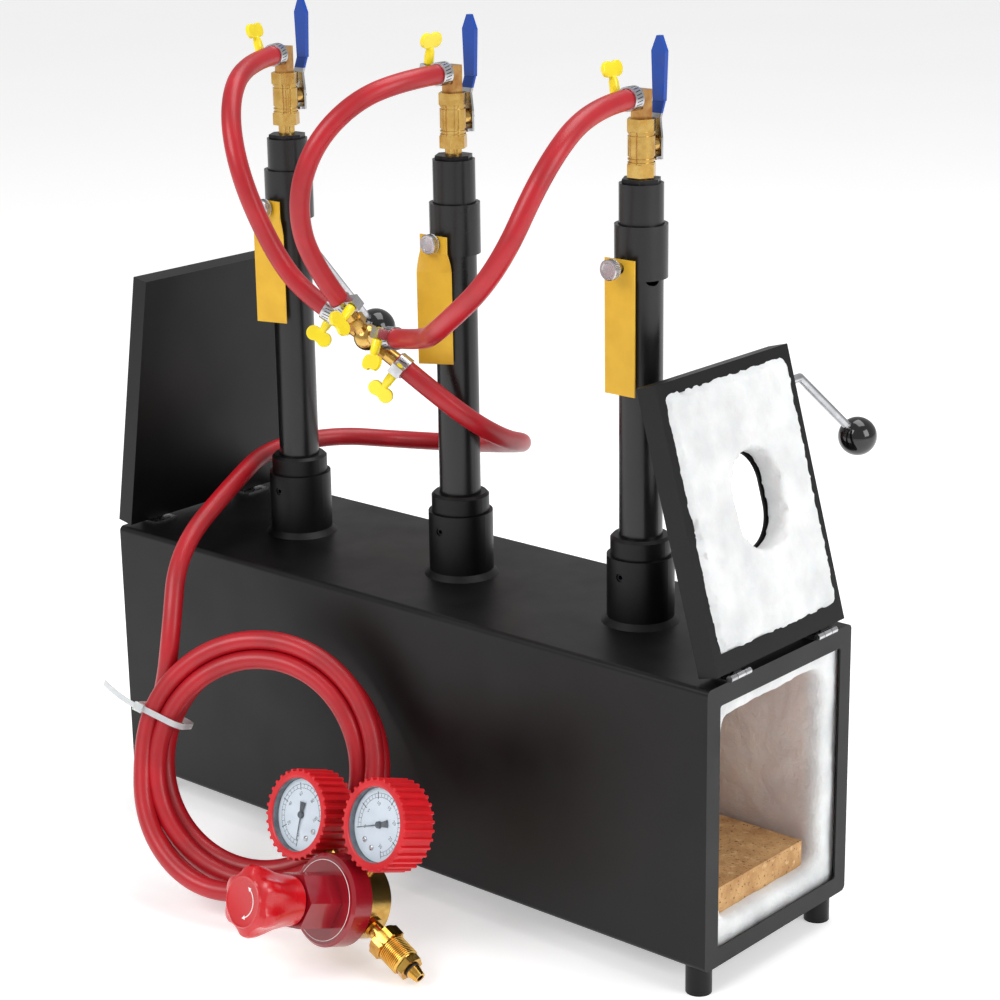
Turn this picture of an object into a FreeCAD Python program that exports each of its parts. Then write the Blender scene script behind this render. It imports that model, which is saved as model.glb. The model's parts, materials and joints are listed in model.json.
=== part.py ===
import FreeCAD, Part
import math
import os
import re

import Sketcher
from FreeCAD import Placement, Rotation, Vector

# Gas forge: a sheet-steel tunnel lined with wool and brick, three venturi burners on its roof,
# a hinged door over each end, and a red gas hose from a cylinder regulator to a four-way manifold.
# Origin: centre of the four feet, on the surface they stand on.
# +X points to the front end (the door with the port), -Y to the hose side, +Z up. Millimetres.

os.makedirs("parts", exist_ok=True)
doc = FreeCAD.newDocument("gas_forge")
dims = doc.addObject("Spreadsheet::Sheet", "dims")

SIZES = {
    # casing
    "casing_length": 568.0, "casing_width": 166.0, "casing_height": 200.0, "casing_sheet": 1.6,
    "corner_radius": 4.0, "foot_height": 22.0, "foot_diameter": 18.0, "foot_along": 269.5,
    "foot_across": 70.0, "frame_sheet": 1.5, "mouth_left": 68.7, "mouth_right": 70.1,
    "mouth_low": 35.05, "mouth_high": 207.8, "mouth_radius": 2.0,
    # lining and bricks
    "lining_gap": 0.2, "lining_setback": 5.0, "chamber_half": 57.5, "chamber_floor": 48.0,
    "chamber_roof": 195.5, "chamber_radius": 8.0, "burner_port": 34.0, "brick_length": 228.0,
    "brick_width": 106.0, "brick_thick": 19.0, "brick_front": 269.0, "brick_centre": -3.0,
    "brick_joint": 0.6,
    # burners
    "burner_pitch": 165.5, "socket_diameter": 47.0, "socket_height": 48.0, "socket_bore": 30.6,
    "weld_leg": 4.0, "grub_diameter": 6.0, "grub_drop": 12.0, "grub_length": 7.0,
    "collar_diameter": 42.0, "collar_height": 14.0, "collar_bore": 30.3, "collar_chamfer": 2.0,
    "tube_diameter": 30.0, "tube_bore": 27.0, "tube_low": 198.0, "tube_high": 526.0,
    "slot_low": 459.0, "slot_width": 12.0, "slot_length": 30.0, "slot_azimuth": -20.0,
    "cap_diameter": 26.8, "cap_depth": 12.0, "cap_hex": 24.0, "cap_hex_height": 3.0,
    "jet_diameter": 12.0, "jet_nose": 8.0, "jet_low": 494.0, "jet_nose_length": 14.0,
    "jet_hole": 1.2,
    # ball valves on top of the burners
    "valve_low": 529.8, "valve_lift_1": 6.0, "valve_lift_2": 4.0, "valve_lift_3": 0.0,
    "valve_hex": 17.6, "valve_foot": 8.7, "valve_body": 21.5, "valve_head": 8.2,
    "valve_diameter": 18.4, "valve_groove": 1.6, "valve_bore": 8.0, "ball_pocket": 12.0,
    "ball_diameter": 11.4, "ball_bore": 7.0, "stem_height": 20.0, "stem_diameter": 4.0,
    "stem_bore": 4.1, "stem_boss": 11.0, "boss_reach": 13.0, "lever_near": 13.4,
    "lever_sheet": 2.0, "lever_foot": -10.0, "lever_neck": 17.0, "lever_width": 12.5,
    "neck_width": 9.5, "grip_low": 27.5, "grip_offset": 5.0, "grip_thick": 3.6,
    "grip_waist": 9.0, "grip_broad": 11.5, "grip_broad_at": 60.0, "grip_tip": 70.0,
    "grip_tip_width": 3.0, "lever_nut": 7.0, "lever_nut_height": 3.0,
    "elbow_square": 10.0, "elbow_rise": 13.8, "elbow_barb": 8.0, "hose_start": 6.0,
    # chokes, their screws and tags
    "choke_bore": 31.0, "choke_diameter": 36.0, "choke_height": 36.0, "choke_low_1": 467.0,
    "choke_low_2": 459.6, "choke_low_3": 463.0, "screw_above": 10.0, "choke_boss": 11.0,
    "choke_boss_end": 21.0, "screw_diameter": 6.0, "screw_bore": 6.1, "screw_tip": 15.5,
    "screw_head": 14.0, "screw_head_thick": 5.5, "screw_reach_1": 28.0, "screw_reach_2": 27.0,
    "screw_reach_3": 33.0, "tag_width": 25.0, "tag_length": 92.0, "tag_thick": 1.0,
    "tag_hole": 7.4, "tag_above": 6.0, "tag_flat": 6.0, "tag_bend": 14.0, "tag_corner": 2.0,
    # hose, its clamps and the manifold
    "hose_diameter": 14.0, "band_bore": 14.2, "band_diameter": 16.3, "band_width": 9.0,
    "band_start": 1.0, "housing_reach": 12.0, "housing_thick": 8.0, "housing_tall": 7.5,
    "key_screw": 5.0, "key_bore": 5.1, "key_shank": 7.0, "key_shank_length": 12.0,
    "key_wing": 20.0, "key_wing_height": 12.0, "key_wing_thick": 3.0, "manifold_arm": 11.0,
    "manifold_hub": 19.0, "manifold_reach": 26.0, "manifold_hex": 13.0, "coil_outer": 102.0,
    "coil_inner": 66.6, "coil_thick": 27.4, "tie_width": 4.5, "tie_thick": 1.4,
    # doors: the skin's plate is door_sheet thick and the pan opens towards the chamber
    "door_sheet": 1.5, "door_gap": 0.7, "hinge_out": 1.2, "hinge_up": 2.3, "hinge_radius": 2.3,
    "pin_diameter": 2.2, "knuckle_bore": 2.3, "knuckle_length": 22.0, "knuckle_middle": 8.0,
    "knuckle_gap": 0.5, "hinge_across": 50.0, "leaf_sheet": 1.2, "leaf_reach": 16.0,
    "door_leaf_reach": 10.0, "front_width": 146.0, "front_height": 192.0, "front_depth": 15.6,
    "front_drop": 1.9, "front_wool_width": 129.0, "front_wool_low": 9.0,
    "front_wool_high": 13.5, "rear_width": 164.0, "rear_height": 199.5, "rear_depth": 14.0,
    "rear_drop": 0.7, "rear_wool_width": 134.0, "rear_wool_low": 16.5, "rear_wool_high": 17.0,
    "wool_proud": 4.0, "wool_gap": 0.3, "port_width": 50.0, "port_height": 66.0,
    "port_across": 5.0, "port_below": 100.0, "front_open": 195.5, "rear_open": 189.7,
    "rod_diameter": 6.0, "front_rod_at": 166.0, "front_rod_out": 16.5, "front_rod_reach": 74.0,
    "front_ball": 27.0, "rear_rod_at": 190.0, "rear_rod_out": 24.0, "rear_rod_reach": 114.0,
    "rear_ball": 33.0,
    # regulator, in its own frame: x towards the inlet side, -y towards the knob, z up
    "reg_turn": 6.4, "reg_pitch": 18.0, "reg_body": 54.0, "reg_body_back": 17.0, "reg_core": 9.0,
    "reg_bonnet_back": 5.0, "reg_bonnet_front": 22.0, "reg_bonnet": 64.0, "reg_hex": 36.0,
    "reg_hex_end": 50.0, "reg_cavity": 26.0, "reg_cavity_end": 46.0, "knob_rear": 51.0,
    "knob_front": 93.0, "knob_rear_diameter": 34.0, "knob_waist": 40.0, "knob_lobe": 49.0,
    "knob_face": 34.0, "knob_lobes": 6.0, "knob_screw": 8.0, "spring_diameter": 22.0,
    "spring_wire": 2.6, "spring_turns": 5.0, "gauge_circle": 68.0, "gauge_spread": 36.3,
    "gauge_roll": -12.0, "gauge_front": 17.0, "gauge_back": 10.0, "gauge_case": 55.0,
    "gauge_dial": 51.0, "gauge_boot": 60.0, "boot_rib": 2.4, "boot_ribs": 32.0,
    "dial_depth": 6.0, "lens_thick": 1.6, "needle_length": 18.0, "needle_tail": 8.0,
    "needle_width": 1.6, "needle_thick": 0.6, "gauge_stem": 12.0, "stem_back": 1.6,
    "inlet_root": 18.0, "inlet_x": 0.904, "inlet_y": 0.170, "inlet_z": -0.392, "inlet_stem": 12.0, "inlet_nut_from": 38.7,
    "inlet_hex_end": 48.6, "inlet_thread_end": 65.5, "inlet_hex": 22.0, "inlet_thread": 21.0,
    "inlet_nose": 17.0, "inlet_nose_end": 71.0, "inlet_groove": 8.5, "inlet_groove_end": 72.6,
    "inlet_tip": 11.0, "inlet_end": 80.0, "inlet_bore": 12.1, "outlet_hex": 17.0,
    "outlet_reach": 42.0, "outlet_relief": 14.8,
}

for row, (alias, number) in enumerate(SIZES.items(), start=1):
    dims.set(f"A{row}", alias)
    dims.set(f"B{row}", str(number))
    dims.setAlias(f"B{row}", alias)
doc.recompute()

WORD = re.compile(r"[a-z][a-z_0-9]*")
UP = Vector(0, 0, 1)
ACROSS = Vector(0, 1, 0)
ALONG = Vector(1, 0, 0)
NODES = []


def linked(expression):
    """The expression with each size written as a reference to its cell."""
    return WORD.sub(lambda word: f"dims.{word[0]}" if word[0] in SIZES else word[0], str(expression))


def value(expression):
    """The number that an expression of sheet sizes gives."""
    return float(dims.evalExpression(linked(expression)))


def bind(thing, **properties):
    for name, expression in properties.items():
        thing.setExpression(name.replace("__", "."), linked(expression))
    return thing


def put(thing, x="0", y="0", z="0"):
    return bind(thing, Placement__Base__x=x, Placement__Base__y=y, Placement__Base__z=z)


def node(thing, name):
    """Name a finished sub-part: this is the name of its file."""
    thing.Label = name
    NODES.append(thing)
    return thing


# ---- primitives, booleans and groups ----

def cylinder(name, diameter, length, x="0", y="0", z="0", direction=UP):
    thing = doc.addObject("Part::Cylinder", name)
    thing.Placement = Placement(Vector(), Rotation(UP, direction))
    bind(thing, Radius=f"({diameter}) / 2", Height=length)
    return put(thing, x, y, z)


def cone(name, low, high, length, x="0", y="0", z="0", direction=UP):
    thing = doc.addObject("Part::Cone", name)
    thing.Placement = Placement(Vector(), Rotation(UP, direction))
    bind(thing, Radius1=f"({low}) / 2", Radius2=f"({high}) / 2", Height=length)
    return put(thing, x, y, z)


def hexagon(name, flats, length, x="0", y="0", z="0", direction=UP, turn=0.0):
    thing = doc.addObject("Part::Prism", name)
    thing.Polygon = 6
    thing.Placement = Placement(Vector(), Rotation(UP, direction) * Rotation(UP, turn))
    bind(thing, Circumradius=f"({flats}) / 2 / cos(30)", Height=length)
    return put(thing, x, y, z)


def block(name, length, width, height, x="0", y="0", z="0"):
    """A box centred on x and y that stands on z."""
    thing = doc.addObject("Part::Box", name)
    bind(thing, Length=length, Width=width, Height=height)
    return put(thing, f"{x} - ({length}) / 2", f"{y} - ({width}) / 2", z)


def sphere(name, diameter, x="0", y="0", z="0"):
    thing = doc.addObject("Part::Sphere", name)
    bind(thing, Radius=f"({diameter}) / 2")
    return put(thing, x, y, z)


def join(name, parts):
    thing = doc.addObject("Part::MultiFuse", name)
    thing.Shapes = parts
    thing.Refine = True
    return thing


def without(name, base, tools):
    thing = doc.addObject("Part::Cut", name)
    thing.Base = base
    thing.Tool = tools[0] if len(tools) == 1 else join(name + "_tools", tools)
    thing.Refine = True
    return thing


def group(name, parts):
    thing = doc.addObject("Part::Compound", name)
    thing.Links = parts
    return thing


def shaped(name, shape, placement=Placement()):
    thing = doc.addObject("Part::Feature", name)
    thing.Shape = shape
    thing.Placement = placement
    return thing


# ---- PartDesign bodies ----

def sketch_on(body, name, role, offset="0"):
    sketch = body.newObject("Sketcher::SketchObject", name)
    plane = next(item for item in body.Origin.OriginFeatures if item.Role == role)
    sketch.AttachmentSupport = (plane, [""])
    sketch.MapMode = "FlatFace"
    sketch.setExpression("AttachmentOffset.Base.z", linked(offset))
    return sketch


def fix_point(sketch, geometry, point, x, y):
    """Tie a sketch point to the sheet: on an axis where it lies on one, else by a distance."""
    for kind, expression, axis in (("DistanceX", x, -2), ("DistanceY", y, -1)):
        number = value(expression)
        if abs(number) < 1e-9:
            sketch.addConstraint(Sketcher.Constraint("PointOnObject", geometry, point, axis))
            continue
        index = sketch.addConstraint(Sketcher.Constraint(kind, -1, 1, geometry, point, number))
        sketch.setExpression(f"Constraints[{index}]", linked(expression))


def outline(sketch, points):
    """A closed outline of straight edges through the points, each tied to the sheet."""
    corners = [Vector(value(x), value(y), 0) for x, y in points]
    first = sketch.GeometryCount
    for start, end in zip(corners, corners[1:] + corners[:1]):
        sketch.addGeometry(Part.LineSegment(start, end), False)
    for index, (x, y) in enumerate(points):
        before = first + (index - 1) % len(points)
        sketch.addConstraint(Sketcher.Constraint("Coincident", before, 2, first + index, 1))
        fix_point(sketch, first + index, 1, x, y)


def rectangle(sketch, left, right, low, high):
    outline(sketch, [(left, low), (right, low), (right, high), (left, high)])


def ring_circle(sketch, diameter, x="0", y="0"):
    centre = Vector(value(x), value(y), 0)
    index = sketch.addGeometry(Part.Circle(centre, UP, value(diameter) / 2), False)
    fix_point(sketch, index, 3, x, y)
    size = sketch.addConstraint(Sketcher.Constraint("Diameter", index, value(diameter)))
    sketch.setExpression(f"Constraints[{size}]", linked(diameter))


def stadium(sketch, width, height, x, y):
    """An upright slot with round ends, centred on x and y."""
    half = f"({height} - {width}) / 2"
    top = Vector(value(x), value(f"{y} + {half}"), 0)
    low = Vector(value(x), value(f"{y} - {half}"), 0)
    radius = value(width) / 2
    side = Vector(radius, 0, 0)
    first = sketch.GeometryCount
    sketch.addGeometry(Part.ArcOfCircle(Part.Circle(top, UP, radius), 0, math.pi), False)
    sketch.addGeometry(Part.LineSegment(top - side, low - side), False)
    sketch.addGeometry(Part.ArcOfCircle(Part.Circle(low, UP, radius), math.pi, 2 * math.pi), False)
    sketch.addGeometry(Part.LineSegment(low + side, top + side), False)
    for index, (end, start) in enumerate(((2, 1), (2, 1), (2, 1), (2, 1))):
        after = first + (index + 1) % 4
        sketch.addConstraint(Sketcher.Constraint("Tangent", first + index, end, after, start))
    fix_point(sketch, first, 3, x, f"{y} + {half}")
    fix_point(sketch, first + 2, 3, x, f"{y} - {half}")
    size = sketch.addConstraint(Sketcher.Constraint("Radius", first, radius))
    sketch.setExpression(f"Constraints[{size}]", linked(f"({width}) / 2"))


def pad(body, sketch, length, symmetric=False, back=False):
    feature = body.newObject("PartDesign::Pad", sketch.Name + "_pad")
    feature.Profile = sketch
    feature.SideType = "Symmetric" if symmetric else "One side"
    feature.Reversed = back
    bind(feature, Length=length)
    sketch.Visibility = False
    doc.recompute()
    return feature


def pocket(body, sketch, length, back=False):
    before = body.Shape.Volume
    feature = body.newObject("PartDesign::Pocket", sketch.Name + "_pocket")
    feature.Profile = sketch
    feature.Reversed = back
    bind(feature, Length=length)
    doc.recompute()
    if body.Shape.Volume > before - 1e-3:
        raise ValueError(f"{sketch.Name} cuts nothing")
    return feature


def round_edges(body, chosen, radius):
    """Round the edges of the body that the test picks."""
    feature = body.Tip
    names = [f"Edge{i}" for i, edge in enumerate(feature.Shape.Edges, start=1) if chosen(edge)]
    fillet = body.newObject("PartDesign::Fillet", body.Name + f"_round_{len(body.Group)}")
    fillet.Base = (feature, names)
    bind(fillet, Radius=radius)
    doc.recompute()
    return fillet


def runs_along(direction, inside=None):
    """Test for straight edges parallel to a direction, within the given half sizes."""
    def chosen(edge):
        if edge.Curve.TypeId != "Part::GeomLine":
            return False
        parallel = edge.tangentAt(edge.FirstParameter).cross(direction).Length < 1e-6
        return parallel and (inside is None or inside(edge.CenterOfMass))
    return chosen


ROOF = "foot_height + casing_height"
BURNERS = {1: "-burner_pitch", 2: "0", 3: "burner_pitch"}
REAR_TO_FRONT = sorted(BURNERS)
TOWARDS_HOSES = Vector(0, -1, 0)


# ---- casing, lining and bricks ----

def roof_holes(body, name, diameter, depth):
    sketch = sketch_on(body, name, "XY_Plane", ROOF)
    for number in REAR_TO_FRONT:
        ring_circle(sketch, diameter, BURNERS[number], "0")
    pocket(body, sketch, depth)


def casing_shell():
    body = doc.addObject("PartDesign::Body", "casing_shell")
    section = sketch_on(body, "casing_section", "YZ_Plane")
    rectangle(section, "-casing_width / 2", "casing_width / 2", "foot_height", ROOF)
    pad(body, section, "casing_length - 2 * frame_sheet", symmetric=True)
    round_edges(body, runs_along(ALONG), "corner_radius")
    inside = sketch_on(body, "casing_inside", "YZ_Plane", "casing_length / 2")
    wall = "casing_width / 2 - casing_sheet"
    rectangle(inside, f"-({wall})", wall, "foot_height + casing_sheet", f"{ROOF} - casing_sheet")
    pocket(body, inside, "casing_length")
    roof_holes(body, "casing_roof_holes", "burner_port", "2 * casing_sheet")
    node(body, "casing_shell")


def end_frames():
    body = doc.addObject("PartDesign::Body", "front_frame")
    section = sketch_on(body, "frame_section", "YZ_Plane", "casing_length / 2 - frame_sheet")
    rectangle(section, "-casing_width / 2", "casing_width / 2", "foot_height", ROOF)
    pad(body, section, "frame_sheet")
    round_edges(body, runs_along(ALONG), "corner_radius")
    mouth = sketch_on(body, "frame_mouth", "YZ_Plane", "casing_length / 2")
    rectangle(mouth, "-mouth_left", "mouth_right", "mouth_low", "mouth_high")
    pocket(body, mouth, "2 * frame_sheet")
    middle = value("casing_width") / 2 - value("mouth_radius")
    round_edges(body, runs_along(ALONG, lambda at: abs(at.y) < middle - 8), "mouth_radius")
    rear = doc.addObject("Part::Mirroring", "rear_frame")
    rear.Source = body
    rear.Normal = ALONG
    node(group("end_frames", [body, rear]), "end_frames")


def feet():
    posts = []
    for x in ("-foot_along", "foot_along"):
        for y in ("-foot_across", "foot_across"):
            posts.append(cylinder(f"foot_{len(posts) + 1}", "foot_diameter", "foot_height", x, y))
    node(group("feet", posts), "feet")


def chamber_lining():
    body = doc.addObject("PartDesign::Body", "chamber_lining")
    section = sketch_on(body, "lining_section", "YZ_Plane")
    half = "casing_width / 2 - casing_sheet - lining_gap"
    low = "foot_height + casing_sheet + lining_gap"
    rectangle(section, f"-({half})", half, low, f"{ROOF} - casing_sheet - lining_gap")
    pad(body, section, "casing_length - 2 * lining_setback", symmetric=True)
    chamber = sketch_on(body, "lining_chamber", "YZ_Plane", "casing_length / 2")
    rectangle(chamber, "-chamber_half", "chamber_half", "chamber_floor", "chamber_roof")
    pocket(body, chamber, "casing_length")
    top_corner = value("chamber_roof") - value("chamber_radius")
    inner = value("chamber_half") + 1

    def at_the_top(at):
        return at.z > top_corner and abs(at.y) < inner
    round_edges(body, runs_along(ALONG, at_the_top), "chamber_radius")
    roof_holes(body, "lining_roof_holes", "burner_port", "casing_width / 4")
    node(body, "chamber_lining")


def fire_bricks():
    bricks = []
    for number in range(2):
        centre = f"brick_front - brick_length / 2 - {number} * (brick_length + brick_joint)"
        brick = block(f"brick_{number + 1}", "brick_length", "brick_width", "brick_thick",
                      centre, "brick_centre", "chamber_floor")
        bricks.append(brick)
    node(group("fire_bricks", bricks), "fire_bricks")


# ---- burners ----

def burner_sockets():
    sockets = []
    screws = []
    for number in REAR_TO_FRONT:
        x = BURNERS[number]
        screw_at = f"{ROOF} + socket_height - grub_drop"
        ring = cylinder(f"socket_ring_{number}", "socket_diameter", "socket_height", x, "0", ROOF)
        weld = cone(f"socket_weld_{number}", "socket_diameter + 2 * weld_leg", "socket_diameter",
                    "weld_leg", x, "0", ROOF)
        bore = cylinder(f"socket_bore_{number}", "socket_bore", "socket_height", x, "0", ROOF)
        tapped = cylinder(f"socket_hole_{number}", "grub_diameter", "socket_diameter", x, "0",
                          screw_at, TOWARDS_HOSES)
        solid = join(f"socket_solid_{number}", [ring, weld])
        sockets.append(without(f"socket_{number}", solid, [bore, tapped]))
        screw = cylinder(f"grub_{number}", "grub_diameter - 0.1", "grub_length", x,
                         "-socket_bore / 2 - 0.2", screw_at, TOWARDS_HOSES)
        key_way = hexagon(f"grub_key_{number}", "grub_diameter / 2", "grub_length / 2", x,
                          "-socket_bore / 2 - 0.2 - grub_length / 2", screw_at, TOWARDS_HOSES)
        screws.append(without(f"grub_screw_{number}", screw, [key_way]))
    node(group("burner_sockets", sockets), "burner_sockets")
    node(group("grub_screws", screws), "grub_screws")


def burner_collars():
    collars = []
    for number in REAR_TO_FRONT:
        x = BURNERS[number]
        low = f"{ROOF} + socket_height"
        ring = cylinder(f"collar_ring_{number}", "collar_diameter", "collar_height - collar_chamfer",
                        x, "0", low)
        rim = cone(f"collar_rim_{number}", "collar_diameter", "collar_diameter - 2 * collar_chamfer",
                   "collar_chamfer", x, "0", f"{low} + collar_height - collar_chamfer")
        bore = cylinder(f"collar_bore_{number}", "collar_bore", "collar_height", x, "0", low)
        solid = join(f"collar_solid_{number}", [ring, rim])
        collars.append(without(f"collar_{number}", solid, [bore]))
    node(group("burner_collars", collars), "burner_collars")


def air_slot(name, x, azimuth):
    """One upright air slot with round ends, from the tube's axis outwards."""
    outwards = Vector(math.cos(math.radians(azimuth)), math.sin(math.radians(azimuth)), 0)
    ends = []
    for place, height in (("low", "slot_low + slot_width / 2"),
                          ("top", "slot_low + slot_length - slot_width / 2")):
        ends.append(cylinder(f"{name}_{place}", "slot_width", "tube_diameter", x, "0", height, outwards))
    middle = doc.addObject("Part::Box", f"{name}_middle")
    middle.Placement = Placement(Vector(), Rotation(UP, azimuth))
    bind(middle, Length="tube_diameter", Width="slot_width", Height="slot_length - slot_width")
    side = f"slot_width / 2 * sin({azimuth})"
    put(middle, f"{x} + {side}", f"-slot_width / 2 * cos({azimuth})", "slot_low + slot_width / 2")
    return join(name, ends + [middle])


def mixing_tubes():
    tubes = []
    for number in REAR_TO_FRONT:
        x = BURNERS[number]
        length = "tube_high - tube_low"
        wall = cylinder(f"tube_wall_{number}", "tube_diameter", length, x, "0", "tube_low")
        tools = [cylinder(f"tube_bore_{number}", "tube_bore", length, x, "0", "tube_low")]
        for turn in range(3):
            azimuth = value("slot_azimuth") + turn * 120
            tools.append(air_slot(f"air_slot_{number}_{turn + 1}", x, azimuth))
        tubes.append(without(f"mixing_tube_{number}", wall, tools))
    node(group("mixing_tubes", tubes), "mixing_tubes")


def caps_and_jets():
    caps = []
    jets = []
    for number in REAR_TO_FRONT:
        x = BURNERS[number]
        plug = cylinder(f"cap_plug_{number}", "cap_diameter", "cap_depth", x, "0",
                        "tube_high - cap_depth")
        flats = hexagon(f"cap_hex_{number}", "cap_hex", "cap_hex_height", x, "0", "tube_high")
        bore = cylinder(f"cap_bore_{number}", "jet_diameter", "cap_depth + cap_hex_height", x, "0",
                        "tube_high - cap_depth")
        caps.append(without(f"cap_{number}", join(f"cap_solid_{number}", [plug, flats]), [bore]))
        stub = f"valve_low + valve_lift_{number} - jet_low"
        pipe = cylinder(f"jet_pipe_{number}", "jet_diameter", f"{stub} - jet_nose_length", x, "0",
                        "jet_low + jet_nose_length")
        nose = cone(f"jet_nose_{number}", "jet_nose", "jet_diameter", "jet_nose_length", x, "0",
                    "jet_low")
        hole = cylinder(f"jet_hole_{number}", "jet_hole", stub, x, "0", "jet_low")
        jets.append(without(f"jet_{number}", join(f"jet_solid_{number}", [pipe, nose]), [hole]))
    node(group("tube_caps", caps), "tube_caps")
    node(group("gas_jets", jets), "gas_jets")


def valve_bodies():
    bodies = []
    for number in REAR_TO_FRONT:
        x = BURNERS[number]
        low = f"valve_low + valve_lift_{number}"
        barrel_low = f"{low} + valve_foot"
        head_low = f"{barrel_low} + valve_body"
        stem = f"{low} + stem_height"
        foot = hexagon(f"valve_foot_{number}", "valve_hex", "valve_foot", x, "0", low)
        barrel = cylinder(f"valve_barrel_{number}", "valve_diameter", "valve_body", x, "0", barrel_low)
        head = hexagon(f"valve_head_{number}", "valve_hex", "valve_head", x, "0", head_low)
        boss = cylinder(f"valve_boss_{number}", "stem_boss", "boss_reach", x, "0", stem, ACROSS)
        tools = [
            cylinder(f"valve_bore_{number}", "valve_bore", "valve_foot + valve_body + valve_head",
                     x, "0", low),
            sphere(f"valve_pocket_{number}", "ball_pocket", x, "0", stem),
            cylinder(f"valve_stem_bore_{number}", "stem_bore", "2 * boss_reach", x, "0", stem, ACROSS),
        ]
        for place, height in enumerate(("1.2", "3.6", "valve_body - 3")):
            groove_low = f"{barrel_low} + {height}"
            rim = cylinder(f"groove_rim_{number}_{place}", "valve_diameter + 2", "valve_groove",
                           x, "0", groove_low)
            core = cylinder(f"groove_core_{number}_{place}", "valve_diameter - valve_groove",
                            "valve_groove", x, "0", groove_low)
            tools.append(without(f"groove_{number}_{place}", rim, [core]))
        solid = join(f"valve_solid_{number}", [foot, barrel, head, boss])
        bodies.append(without(f"valve_{number}", solid, tools))
    node(group("valve_bodies", bodies), "valve_bodies")


def lever_plate(number):
    """The steel lever and its dipped grip, drawn about the stem's axis."""
    body = doc.addObject("PartDesign::Body", f"lever_plate_{number}")
    foot = sketch_on(body, f"lever_foot_{number}", "XZ_Plane", "-lever_near")
    half = "lever_width / 2"
    neck = "neck_width / 2"
    outline(foot, [(f"-{half}", "lever_foot"), (half, "lever_foot"), (half, "lever_width / 3"),
                   (neck, "lever_neck"), (f"-{neck}", "lever_neck"), (f"-{half}", "lever_width / 3")])
    pad(body, foot, "lever_sheet", back=True)
    tab = sketch_on(body, f"lever_tab_{number}", "XZ_Plane", "-lever_near")
    rectangle(tab, f"-{neck}", neck, "lever_foot", "lever_foot + lever_sheet")
    pad(body, tab, "1.7 * lever_sheet")
    kink = sketch_on(body, f"lever_kink_{number}", "YZ_Plane")
    far = "lever_near + grip_offset"
    outline(kink, [("lever_near", "lever_neck - 1"), ("lever_near + lever_sheet", "lever_neck - 1"),
                   (f"{far} + lever_sheet", "grip_low + 1"), (far, "grip_low + 1")])
    pad(body, kink, "neck_width", symmetric=True)
    grip = sketch_on(body, f"lever_grip_{number}", "XZ_Plane",
                     f"-({far} - (grip_thick - lever_sheet) / 2)")
    outline(grip, [("-grip_waist / 2", "grip_low"), ("grip_waist / 2", "grip_low"),
                   ("grip_broad / 2", "grip_broad_at"), ("grip_tip_width / 2", "grip_tip"),
                   ("-grip_tip_width / 2", "grip_tip"), ("-grip_broad / 2", "grip_broad_at")])
    pad(body, grip, "grip_thick", back=True)
    hole = sketch_on(body, f"lever_hole_{number}", "XZ_Plane", "-2 * lever_near")
    ring_circle(hole, "stem_diameter + 0.05")
    pocket(body, hole, "lever_near", back=True)
    return body


def valve_levers():
    for number in REAR_TO_FRONT:
        ball = sphere(f"ball_{number}", "ball_diameter")
        bore = cylinder(f"ball_bore_{number}", "ball_bore", "ball_diameter", "0", "0",
                        "-ball_diameter / 2")
        drilled = without(f"ball_drilled_{number}", ball, [bore])
        stem = cylinder(f"stem_{number}", "stem_diameter",
                        "lever_near + lever_sheet + lever_nut_height + 1 - ball_diameter / 2 + 0.6",
                        "0", "ball_diameter / 2 - 0.6", "0", ACROSS)
        spindle = join(f"spindle_{number}", [drilled, stem])
        flats = hexagon(f"lever_nut_flats_{number}", "lever_nut", "lever_nut_height", "0",
                        "lever_near + lever_sheet", "0", ACROSS)
        thread = cylinder(f"lever_nut_bore_{number}", "stem_diameter + 0.05", "2 * lever_nut_height",
                          "0", "lever_near + lever_sheet", "0", ACROSS)
        nut = without(f"lever_nut_{number}", flats, [thread])
        lever = group(f"valve_lever_{number}", [spindle, lever_plate(number), nut])
        put(lever, BURNERS[number], "0", f"valve_low + valve_lift_{number} + stem_height")
        node(lever, f"valve_lever_{number}")


ELBOW_TURNS = {1: 15.0, 2: 0.0, 3: 0.0}


def hose_elbows():
    elbows = []
    for number in REAR_TO_FRONT:
        post = block(f"elbow_post_{number}", "elbow_square", "elbow_square",
                     "elbow_rise + elbow_square / 2")
        barb = cylinder(f"elbow_barb_{number}", "elbow_barb", "hose_start", "0", "0", "elbow_rise",
                        TOWARDS_HOSES)
        elbow = join(f"elbow_{number}", [post, barb])
        elbow.Placement = Placement(Vector(), Rotation(UP, ELBOW_TURNS[number]))
        top = f"valve_low + valve_lift_{number} + valve_foot + valve_body + valve_head"
        put(elbow, BURNERS[number], "0", top)
        elbows.append(elbow)
    node(group("hose_elbows", elbows), "hose_elbows")


# ---- chokes, their screws and the tags on them ----

def chokes():
    for number in REAR_TO_FRONT:
        x = BURNERS[number]
        low = f"choke_low_{number}"
        screw_at = f"{low} + screw_above"
        sleeve = cylinder(f"choke_sleeve_{number}", "choke_diameter", "choke_height", x, "0", low)
        boss = cylinder(f"choke_boss_{number}", "choke_boss", "choke_boss_end", x, "0", screw_at,
                        TOWARDS_HOSES)
        bore = cylinder(f"choke_bore_{number}", "choke_bore", "choke_height", x, "0", low)
        tapped = cylinder(f"choke_hole_{number}", "screw_bore", "2 * choke_boss_end", x, "0", screw_at,
                          TOWARDS_HOSES)
        solid = join(f"choke_solid_{number}", [sleeve, boss])
        node(without(f"choke_{number}", solid, [bore, tapped]), f"choke_{number}")
        reach = f"screw_reach_{number}"
        shank = cylinder(f"screw_shank_{number}", "screw_diameter", f"{reach} - screw_tip", x,
                         "-screw_tip", screw_at, TOWARDS_HOSES)
        head = cylinder(f"screw_head_{number}", "screw_head", "screw_head_thick", x,
                        f"-({reach} - screw_head_thick / 2)", screw_at, TOWARDS_HOSES)
        node(join(f"choke_screw_{number}", [shank, head]), f"choke_screw_{number}")


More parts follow.
